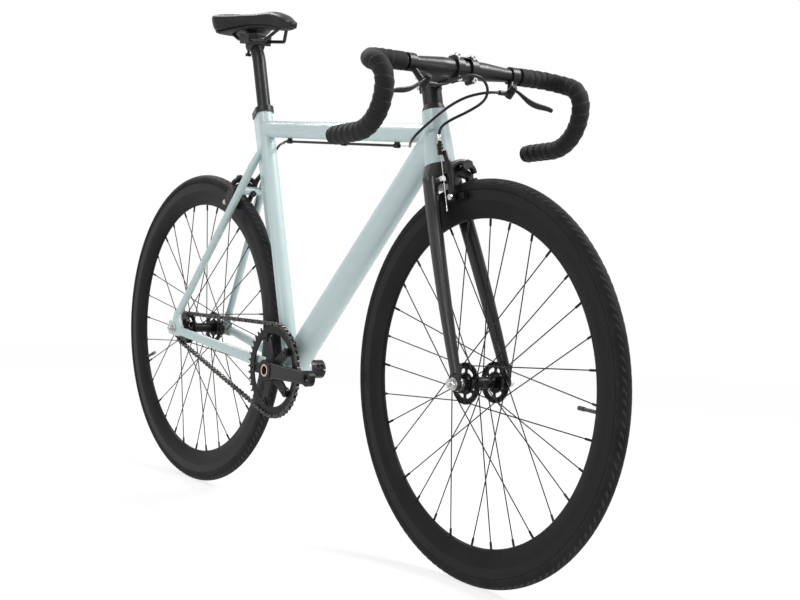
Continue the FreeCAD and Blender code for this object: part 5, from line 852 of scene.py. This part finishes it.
    def domed(self, points, dome):
        """Rows added at both ends that close in a quarter round: scale cos t, reach sin t."""
        quarter = np.linspace(0, math.pi / 2, self.dome_rows)[1:]
        scale = np.cos(quarter)[:, None, None] * (1 - self.tip) + self.tip
        ends = []
        for row, way in ((points[0], -1.0), (points[-1], 1.0)):
            middle = row.mean(axis=0)
            step = np.zeros((len(quarter), 1, 3))
            step[:, 0, 0] = np.sin(quarter) * dome * way
            ends.append(middle + (row - middle) * scale + step)
        return np.concatenate([ends[0][::-1], points, ends[1]], axis=0)


class BIKE_OT_tape(bpy.types.Operator):
    """Wind the tape on both drops, each turn lapped over the last, with a finishing band"""
    bl_idname = "bike.tape"
    bl_label = "Bar tape"

    steps_round = 56
    step = 0.0009
    # Shares of a wrap at which its edge is up, starts to fall and ends, and the share it falls by
    edge_up, edge_falls, edge_ends = 0.10, 0.14, 0.93
    fall = 0.75
    rub_width = 0.06
    # Height of the finishing band as a share of a wrap, and the length of its edge
    band_height = 0.75
    band_edge = 0.001
    # Lengths over which the tape closes down on the bar at its two ends, and the share it closes by
    start_fade = (-0.0005, 0.0012)
    end_fade = 0.004
    end_close = 0.6
    # Gap between the bar and the tape's inside
    gap = 0.0002

    def bar_line(self, sizes, lengths):
        """Points of the left half of the bar by length from its middle.

        The line is a straight flat, a quarter round into the drop, two arcs of the hook
        and a straight lower end, each tangent to the one before.
        """
        cos_drop, sin_drop = math.cos(sizes.corner_drop), math.sin(sizes.corner_drop)
        side = np.array((0.0, 1.0, 0.0))
        forward = np.array((cos_drop, 0.0, -sin_drop))
        centre = np.array(sizes.bar_centre[:])
        flat = sizes.half_width - sizes.corner_radius
        corner = centre + side * flat + forward * sizes.corner_radius
        inward = np.array((-sin_drop, 0.0, -cos_drop))
        upper = corner + side * sizes.corner_radius + inward * sizes.upper_radius
        lower = upper + np.array((sizes.upper_radius - sizes.lower_radius, 0.0, 0.0))
        upper_turn = math.pi / 2 - sizes.corner_drop
        lower_turn = math.pi / 2 - sizes.slope
        runs = np.cumsum([0.0, flat, sizes.corner_radius * math.pi / 2, sizes.upper_radius * upper_turn,
                          sizes.lower_radius * lower_turn, sizes.straight])
        along = [np.clip(lengths - start, 0.0, end - start)[:, None]
                 for start, end in zip(runs, runs[1:])]
        bend = along[1] / sizes.corner_radius
        high = upper_turn - along[2] / sizes.upper_radius
        low = -along[3] / sizes.lower_radius
        flats = centre + side * along[0]
        bends = corner + (side * np.sin(bend) - forward * np.cos(bend)) * sizes.corner_radius
        highs, lows = (
            middle + np.concatenate([np.cos(turn), 0 * turn, np.sin(turn)], axis=1) * radius
            for middle, turn, radius in (
                (upper, high, sizes.upper_radius), (lower, low, sizes.lower_radius)))
        ends = lows - np.array((math.cos(sizes.slope), 0.0, math.sin(sizes.slope))) * along[4]
        part = np.searchsorted(runs[1:-1], lengths)[:, None]
        return np.choose(part, [flats, bends, highs, lows, ends]), runs[-1]

    def execute(self, context):
        sizes = context.scene.bike_tape
        material = tape_finish(context.scene.bike_colours)
        end = self.bar_line(sizes, np.zeros(1))[1]
        lengths = np.arange(sizes.start, end, self.step)
        line = self.bar_line(sizes, lengths)[0]
        turns = round_turns(self.steps_round)
        pitch = (end - sizes.start) / sizes.wraps
        phase = np.mod((lengths[:, None] - sizes.start) / pitch - turns / (2 * math.pi), 1.0)
        lap = smooth_step(phase, 0.0, self.edge_up)
        lap = lap * (1 - self.fall * smooth_step(phase, self.edge_falls, 1.0))
        lap = lap * (1 - smooth_step(phase, self.edge_ends, 1.0))
        past_start = (lengths - sizes.start)[:, None]
        in_band = 1 - smooth_step(past_start, sizes.band - self.band_edge, sizes.band)
        lap = lap * (1 - in_band) + self.band_height * in_band
        thickness = sizes.low + (sizes.high - sizes.low) * lap
        opens = smooth_step(lengths, *(sizes.start + fade for fade in self.start_fade))
        closes = 1 - self.end_close * smooth_step(lengths, end - self.end_fade, end)
        radii = sizes.bar_radius + self.gap + thickness * np.minimum(opens, closes)[:, None]
        edge = np.exp(-((phase - self.edge_up) / self.rub_width) ** 2) * (1 - in_band)
        left = tube_points(line, radii, turns)
        for name, points, marks in (("bar_tape_left", left, edge),
                                    ("bar_tape_right", mirrored(left), edge[:, ::-1])):
            tape = surface_piece(name, points, caps=True)
            mark_points(tape, "wrap_edge", marks)
            coat(tape, material)
            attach(tape, "steering")
            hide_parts("bar_tape")
        return {"FINISHED"}


class BIKE_OT_hoses(bpy.types.Operator):
    """Lay the brake hoses and the bare wire on smooth lines, with metal end caps"""
    bl_idname = "bike.hoses"
    bl_label = "Brake hoses"

    front_route = (
        (0.405341, -0.0731, 0.820924), (0.405341, -0.0544, 0.820924), (0.410, -0.030, 0.834),
        (0.415, -0.006, 0.844), (0.418, 0.018, 0.841), (0.418, 0.034, 0.824), (0.413, 0.032, 0.803),
        (0.401, 0.008, 0.784), (0.385, -0.018, 0.768), (0.37405, -0.035, 0.75196),
        (0.37998, -0.035, 0.73072),
    )
    loop_route = (
        (0.405341, 0.0731, 0.820924), (0.405341, 0.0544, 0.820924), (0.392, 0.028, 0.815),
        (0.380, 0.006, 0.805), (0.367, -0.018, 0.786), (0.345, -0.034, 0.762), (0.316, -0.038, 0.742),
        (0.285, -0.025, 0.730), (0.252077, 0.0, 0.726725),
    )
    rear_route = (
        (0.2133, 0.0, 0.728074), (0.1300, 0.0, 0.730972), (-0.0500, 0.0, 0.737234),
        (-0.1400, 0.0, 0.740364), (-0.167367, 0.0, 0.741316), (-0.192, 0.012, 0.738),
        (-0.216, 0.025, 0.741), (-0.245, 0.032, 0.735), (-0.266, 0.034, 0.716),
        (-0.27487, 0.035, 0.71066), (-0.28695, 0.035, 0.69220),
    )
    steps_round = 20
    order = 3
    resolution = 16
    cap_steps = 24
    cap_edge = (0.0, 0.8)
    wire_rows = 90
    wire_steps = 36
    # Radius of the wire between two strands, and the rise of a strand over it, as shares
    wire_low, wire_rise = 0.93, 0.12

    def smooth_line(self, name, route):
        """Points of the NURBS spline of third order whose control points are the route."""
        curve = bpy.data.curves.new(name + "_line", "CURVE")
        curve.dimensions = "3D"
        spline = curve.splines.new("NURBS")
        spline.points.add(len(route) - 1)
        spline.points.foreach_set("co", np.array([(*point, 1.0) for point in route]).ravel())
        spline.order_u = self.order
        spline.use_endpoint_u = True
        spline.resolution_u = self.resolution
        carrier = bpy.data.objects.new(name + "_line", curve)
        bpy.context.scene.collection.objects.link(carrier)
        bpy.context.view_layer.update()
        mesh = bpy.data.meshes.new_from_object(carrier)
        points = np.empty(len(mesh.vertices) * 3)
        mesh.vertices.foreach_get("co", points)
        bpy.data.objects.remove(carrier)
        bpy.data.meshes.remove(mesh)
        return points.reshape(-1, 3)

    def execute(self, context):
        sizes = context.scene.bike_hoses
        material = hose_finish(context.scene.bike_colours)
        silver = steel_finish("wire_steel", context.scene.bike_colours.silver, roughness=0.26)
        rows = (
            ("front_hose", self.front_route, "front_brake_hose", ("steering",)),
            ("rear_loop", self.loop_route, "rear_brake_hose_loop", ("frame", "steering")),
            ("rear_hose", self.rear_route, "rear_brake_hose", ("frame",)),
        )
        for name, route, node, bodies in rows:
            line = self.smooth_line(name, route)
            points = tube_points(line, np.full(len(line), sizes.radius), round_turns(self.steps_round))
            hose = surface_piece(name, points, caps=True)
            coat(hose, material)
            if len(bodies) > 1:
                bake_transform(hose)
            else:
                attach(hose, bodies[0])
            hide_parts(node)
            run = float(np.linalg.norm(np.diff(line, axis=0), axis=1).sum())
            if node != "rear_brake_hose_loop":
                self.end_cap(name + "_cap", line, sizes, silver, bodies[0])
        self.bare_wire(sizes, silver)
        return {"FINISHED"}

    def end_cap(self, name, line, sizes, material, body):
        """Metal sleeve round the last stretch of a hose, with a small rolled edge at its start."""
        left = np.linalg.norm(line - line[-1], axis=1)
        stretch = line[(left < sizes.cap_length) & (np.arange(len(line)) > len(line) // 2)]
        radii = np.full(len(stretch), sizes.radius + sizes.cap_wall)
        radii[:len(self.cap_edge)] += sizes.cap_wall * np.array(self.cap_edge)
        points = tube_points(stretch, radii, round_turns(self.cap_steps))
        cap = surface_piece(name, points, caps=True)
        coat(cap, material)
        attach(cap, body)

    def bare_wire(self, sizes, material):
        """Stranded wire between the loop and the first guide.

        Its radius is r (0.93 + 0.12 |cos(n/2 (a - twist))|) with n strands, at the turn angle a.
        """
        start, end = np.array(self.rear_route[0]), np.array(self.loop_route[-1])
        at = np.linspace(0.0, 1.0, self.wire_rows)[:, None]
        line = start + (end - start) * at
        turns = round_turns(self.wire_steps)
        twist = at * (np.linalg.norm(end - start) / sizes.wire_lay * 2 * math.pi)
        strand = np.abs(np.cos(sizes.wire_strands / 2 * (turns - twist)))
        radii = sizes.wire_radius * (self.wire_low + self.wire_rise * strand)
        wire = surface_piece("rear_bare_wire", tube_points(line, radii, turns), caps=True)
        coat(wire, material)
        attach(wire, "frame")
        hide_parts("rear_brake_hose")


class BIKE_OT_arms(bpy.types.Operator):
    """Make the forged outer arm of each brake with its neck, arch, leg, eye and adjusting barrel"""
    bl_idname = "bike.arms"
    bl_label = "Brake arms"

    # Pivot, direction outwards, and the side of the bicycle the arm's pivot lies on
    seats = {
        "front": ("front_brake_arm_right", "front_calliper_right",
                  (0.396601, 0.015, 0.695548), (0.96316257, 0.0, 0.26891982), 1.0),
        "rear": ("rear_brake_arm_left", "rear_calliper_left",
                 (-0.313425, -0.015, 0.6637), (-0.83678791, 0.0, 0.54752716), -1.0),
    }
    # Rows of place across, up and outwards from the pivot, and half width
    bars = {
        "leg": (
            (-0.0440, 0.0215, -0.0035, 0.0032), (-0.0432, 0.0120, -0.0020, 0.0033),
            (-0.0415, 0.0020, 0.0, 0.0042), (-0.0395, -0.0080, 0.0, 0.0056),
            (-0.0400, -0.0180, 0.0, 0.0056), (-0.0410, -0.0300, 0.0, 0.0046),
            (-0.0413, -0.0460, 0.0, 0.0045), (-0.0405, -0.0585, 0.0, 0.0045),
            (-0.0405, -0.0635, 0.0, 0.0028)),
        "arch": (
            (-0.0400, -0.0085, 0.0, 0.0058), (-0.0290, -0.0012, 0.0, 0.0050),
            (-0.0180, 0.0026, 0.0, 0.0050), (-0.0066, 0.0026, 0.0, 0.0058)),
        "tip": (
            (0.0058, -0.0028, 0.0, 0.0052), (0.0110, -0.0082, 0.0, 0.0046),
            (0.0132, -0.0150, 0.0, 0.0032)),
    }
    # Rows of radius and height above the pivot for the outside of the barrel
    barrel_rows = (
        (0.0052, 0.0160), (0.0052, 0.0222), (0.0043, 0.0228), (0.0043, 0.0250), (0.0056, 0.0256),
        (0.0056, 0.0280), (0.0045, 0.0286), (0.0045, 0.0302), (0.0056, 0.0308), (0.0056, 0.0332),
        (0.0043, 0.0340), (0.0043, 0.0380))
    steps = 60
    columns = 40
    roughness = 0.28

    def eased(self, rows):
        """Cardinal spline through the rows of a table."""
        at = np.linspace(0, len(rows) - 1, self.steps)
        first = np.minimum(at.astype(int), len(rows) - 2)
        t = (at - first)[:, None]
        near = rows[np.clip(first[:, None] + NEAREST, 0, len(rows) - 1)]
        return (near * cardinal_weights(t)).sum(axis=1)

    def execute(self, context):
        sizes = context.scene.bike_arms
        material = satin_finish("calliper_black", context.scene.bike_colours.satin, self.roughness)
        section = round_turns(self.columns, start=0.5)
        wide, deep = squared_off(np.stack([np.cos(section), np.sin(section)]), sizes.corner)
        turns = round_turns(self.steps)[:, None]
        for side_name, (node, body, pivot, way, sign) in self.seats.items():
            axes = np.stack([(0.0, sign, 0.0), np.cross(way, (0.0, sign, 0.0)), way])
            grids = {}
            for name, rows in self.bars.items():
                line = self.eased(np.array(rows))
                run = unit_rows(np.gradient(line[:, :2], axis=0))
                normal = np.stack([-run[:, 1], run[:, 0], np.zeros(self.steps)], axis=-1)
                grids[name] = (line[:, None, :3] + normal[:, None] * (line[:, 3:] * wide)[..., None]
                               + np.array((0.0, 0.0, sizes.depth)) * deep[:, None])
            ring = sizes.hub_radius + sizes.hub_bore + wide * (sizes.hub_radius - sizes.hub_bore)
            ring = ring / 2
            grids["hub"] = np.stack(np.broadcast_arrays(
                ring * np.cos(turns), ring * np.sin(turns), sizes.depth * deep), axis=-1)
            outside = np.array(self.barrel_rows)
            inside = np.stack([np.full(len(outside), sizes.barrel_bore), outside[::-1, 1]], axis=-1)
            radius, height = np.concatenate([outside, inside]).T
            grids["barrel"] = np.stack(np.broadcast_arrays(
                sizes.barrel_side + radius * np.sin(turns), height,
                sizes.barrel_back + radius * np.cos(turns)), axis=-1)
            for name, grid in grids.items():
                whole = name in ("hub", "barrel")
                points = np.array(pivot) + grid @ axes
                arm = surface_piece(side_name + "_arm_" + name, points, along=whole, caps=not whole)
                coat(arm, material)
                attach(arm, body)
                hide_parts(node)
        return {"FINISHED"}


class BIKE_OT_stage(bpy.types.Operator):
    """Set up the pale floor, the soft lights, the white backdrop and the camera"""
    bl_idname = "bike.stage"
    bl_label = "Studio"

    floor_rows = 24
    floor_turns = 64
    # Size of the hole in the middle of the floor, before squaring, as a share
    floor_hole = 0.02
    # Distance from which the floor fades, and how white it is there
    fade_start = 0.5
    fade_white = 0.79
    # Point that the lights look at
    aim = (0.0, 0.0, 0.5)

    def execute(self, context):
        sizes = context.scene.bike_stage
        context.scene.view_settings.view_transform = "Standard"
        self.floor(sizes)
        self.backdrop(context, sizes)
        self.lights(context, sizes)
        self.camera(context, sizes)
        return {"FINISHED"}

    def floor(self, sizes):
        """Flat disc: radius grows with the square of the row, so rows are close under the bicycle."""
        rows = np.linspace(self.floor_hole, 1.0, self.floor_rows) ** 2 * sizes.floor_radius
        turns = round_turns(self.floor_turns)[::-1]
        points = np.stack([rows[:, None] * np.cos(turns), rows[:, None] * np.sin(turns),
                           np.zeros((len(rows), len(turns)))], axis=-1)
        floor = surface_piece("studio_floor", points)
        finish = Finish("studio_floor", sizes.floor_colour, roughness=0.8, specular=0.1)
        finish.mottle(3.0, 0.01)
        finish.done()
        fade = finish.ranged(finish.size_of(finish.place), self.fade_start, sizes.floor_fade,
                             self.fade_white, 1.0)
        glow = finish.node("ShaderNodeEmission", {"Color": (1.0, 1.0, 1.0, 1.0), "Strength": 1.0})
        mix = finish.node("ShaderNodeMixShader", {
            0: finish.sum("MULTIPLY", self.seen(finish.tree), fade),
            1: finish.shader.outputs[0], 2: glow.outputs[0]})
        finish.feed(finish.tree.nodes["Material Output"].inputs["Surface"], mix.outputs[0])
        coat(floor, finish.material)

    def seen(self, tree):
        """One for rays from the camera, and for their reflections and refractions."""
        rays = tree.nodes.new("ShaderNodeLightPath").outputs
        seen = rays["Is Camera Ray"]
        for kind in ("Is Glossy Ray", "Is Transmission Ray"):
            joined = tree.nodes.new("ShaderNodeMath")
            joined.operation = "MAXIMUM"
            tree.links.new(seen, joined.inputs[0])
            tree.links.new(rays[kind], joined.inputs[1])
            seen = joined.outputs[0]
        return seen

    def backdrop(self, context, sizes):
        """White to the eye and an even soft light to the bicycle."""
        world = bpy.data.worlds.new("studio_backdrop")
        context.scene.world = world
        world.use_nodes = True
        tree = world.node_tree
        background = tree.nodes["Background"]
        background.inputs["Color"].default_value = (1.0, 1.0, 1.0, 1.0)
        strength = tree.nodes.new("ShaderNodeMapRange")
        strength.inputs["To Min"].default_value = sizes.ambient
        strength.inputs["To Max"].default_value = 1.0
        tree.links.new(self.seen(tree), strength.inputs["Value"])
        tree.links.new(strength.outputs[0], background.inputs["Strength"])

    def lights(self, context, sizes):
        """Five soft boxes aimed at the middle of the bicycle."""
        rows = (
            ("key_light", (0.9, -2.5, 2.5), (0.6, 0.6), sizes.key_power),
            ("fill_light", (3.1, 1.2, 0.8), (0.4, 1.4), sizes.fill_power),
            ("bar_light", (1.3, 1.60, 2.7), (1.0, 1.0), sizes.bar_power),
            ("back_light", (-2.0, -0.2, 2.6), (0.8, 0.8), sizes.back_power),
            ("side_light", (-0.2, -3.0, 0.75), (0.4, 1.8), sizes.side_power),
        )
        for name, spot, size, power in rows:
            lamp = bpy.data.lights.new(name, "AREA")
            lamp.shape = "RECTANGLE"
            lamp.size, lamp.size_y = size
            lamp.energy = power
            light = bpy.data.objects.new(name, lamp)
            self.stand(light, unit_rows(np.array(spot) - self.aim), spot)
            context.scene.collection.objects.link(light)

    def camera(self, context, sizes):
        """Camera at the photograph's place."""
        sin_a, cos_a = math.sin(sizes.azimuth), math.cos(sizes.azimuth)
        sin_e, cos_e = math.sin(sizes.elevation), math.cos(sizes.elevation)
        back = np.array((sin_a * cos_e, -cos_a * cos_e, sin_e))
        lens = bpy.data.cameras.new("photo_camera")
        lens.sensor_width = sizes.sensor
        lens.sensor_fit = "HORIZONTAL"
        lens.lens = sizes.focal_pixels * sizes.sensor / IMAGE_WIDTH
        camera = bpy.data.objects.new("photo_camera", lens)
        self.stand(camera, back, np.array(sizes.target[:]) + back * sizes.distance, sizes.roll)
        context.scene.collection.objects.link(camera)
        context.scene.camera = camera

    def stand(self, thing, back, spot, roll=0.0):
        """Stand a light or camera at a spot, looking along minus back and turned about it by a roll."""
        right = unit_rows(np.cross((0.0, 0.0, 1.0), back))
        up = np.cross(back, right)
        sin_r, cos_r = math.sin(roll), math.cos(roll)
        matrix = np.eye(4)
        matrix[:3] = np.stack([
            cos_r * right + sin_r * up, cos_r * up - sin_r * right, back, spot], axis=1)
        thing.matrix_world = matrix.T


class BIKE_PT_panel(bpy.types.Panel):
    """Sidebar panel with the steps in their order"""
    bl_idname = "BIKE_PT_panel"
    bl_label = "Bicycle"
    bl_space_type = "VIEW_3D"
    bl_region_type = "UI"
    bl_category = "Bicycle"

    def draw(self, context):
        for step in STEPS:
            self.layout.operator(step.bl_idname)


GROUPS = {
    "bike_stage": BikeStage, "bike_colours": BikeColours, "bike_tyre": BikeTyre,
    "bike_saddle": BikeSaddle, "bike_tape": BikeTape, "bike_hoses": BikeHoses,
    "bike_arms": BikeArms,
}
STEPS = (BIKE_OT_stage, BIKE_OT_hoses, BIKE_OT_finishes, BIKE_OT_tyres, BIKE_OT_saddle, BIKE_OT_tape,
         BIKE_OT_arms)
CLASSES = (*GROUPS.values(), *STEPS, BIKE_PT_panel)


def register():
    for item in CLASSES:
        bpy.utils.register_class(item)
    for name, group in GROUPS.items():
        setattr(bpy.types.Scene, name, bpy.props.PointerProperty(type=group))


def unregister():
    for name in GROUPS:
        delattr(bpy.types.Scene, name)
    for item in reversed(CLASSES):
        bpy.utils.unregister_class(item)


def main():
    """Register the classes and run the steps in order."""
    register()
    bpy.ops.bike.stage()
    bpy.ops.bike.hoses()
    bpy.ops.bike.finishes()
    bpy.ops.bike.tyres()
    bpy.ops.bike.saddle()
    bpy.ops.bike.tape()
    bpy.ops.bike.arms()


if __name__ == "__main__":
    main()
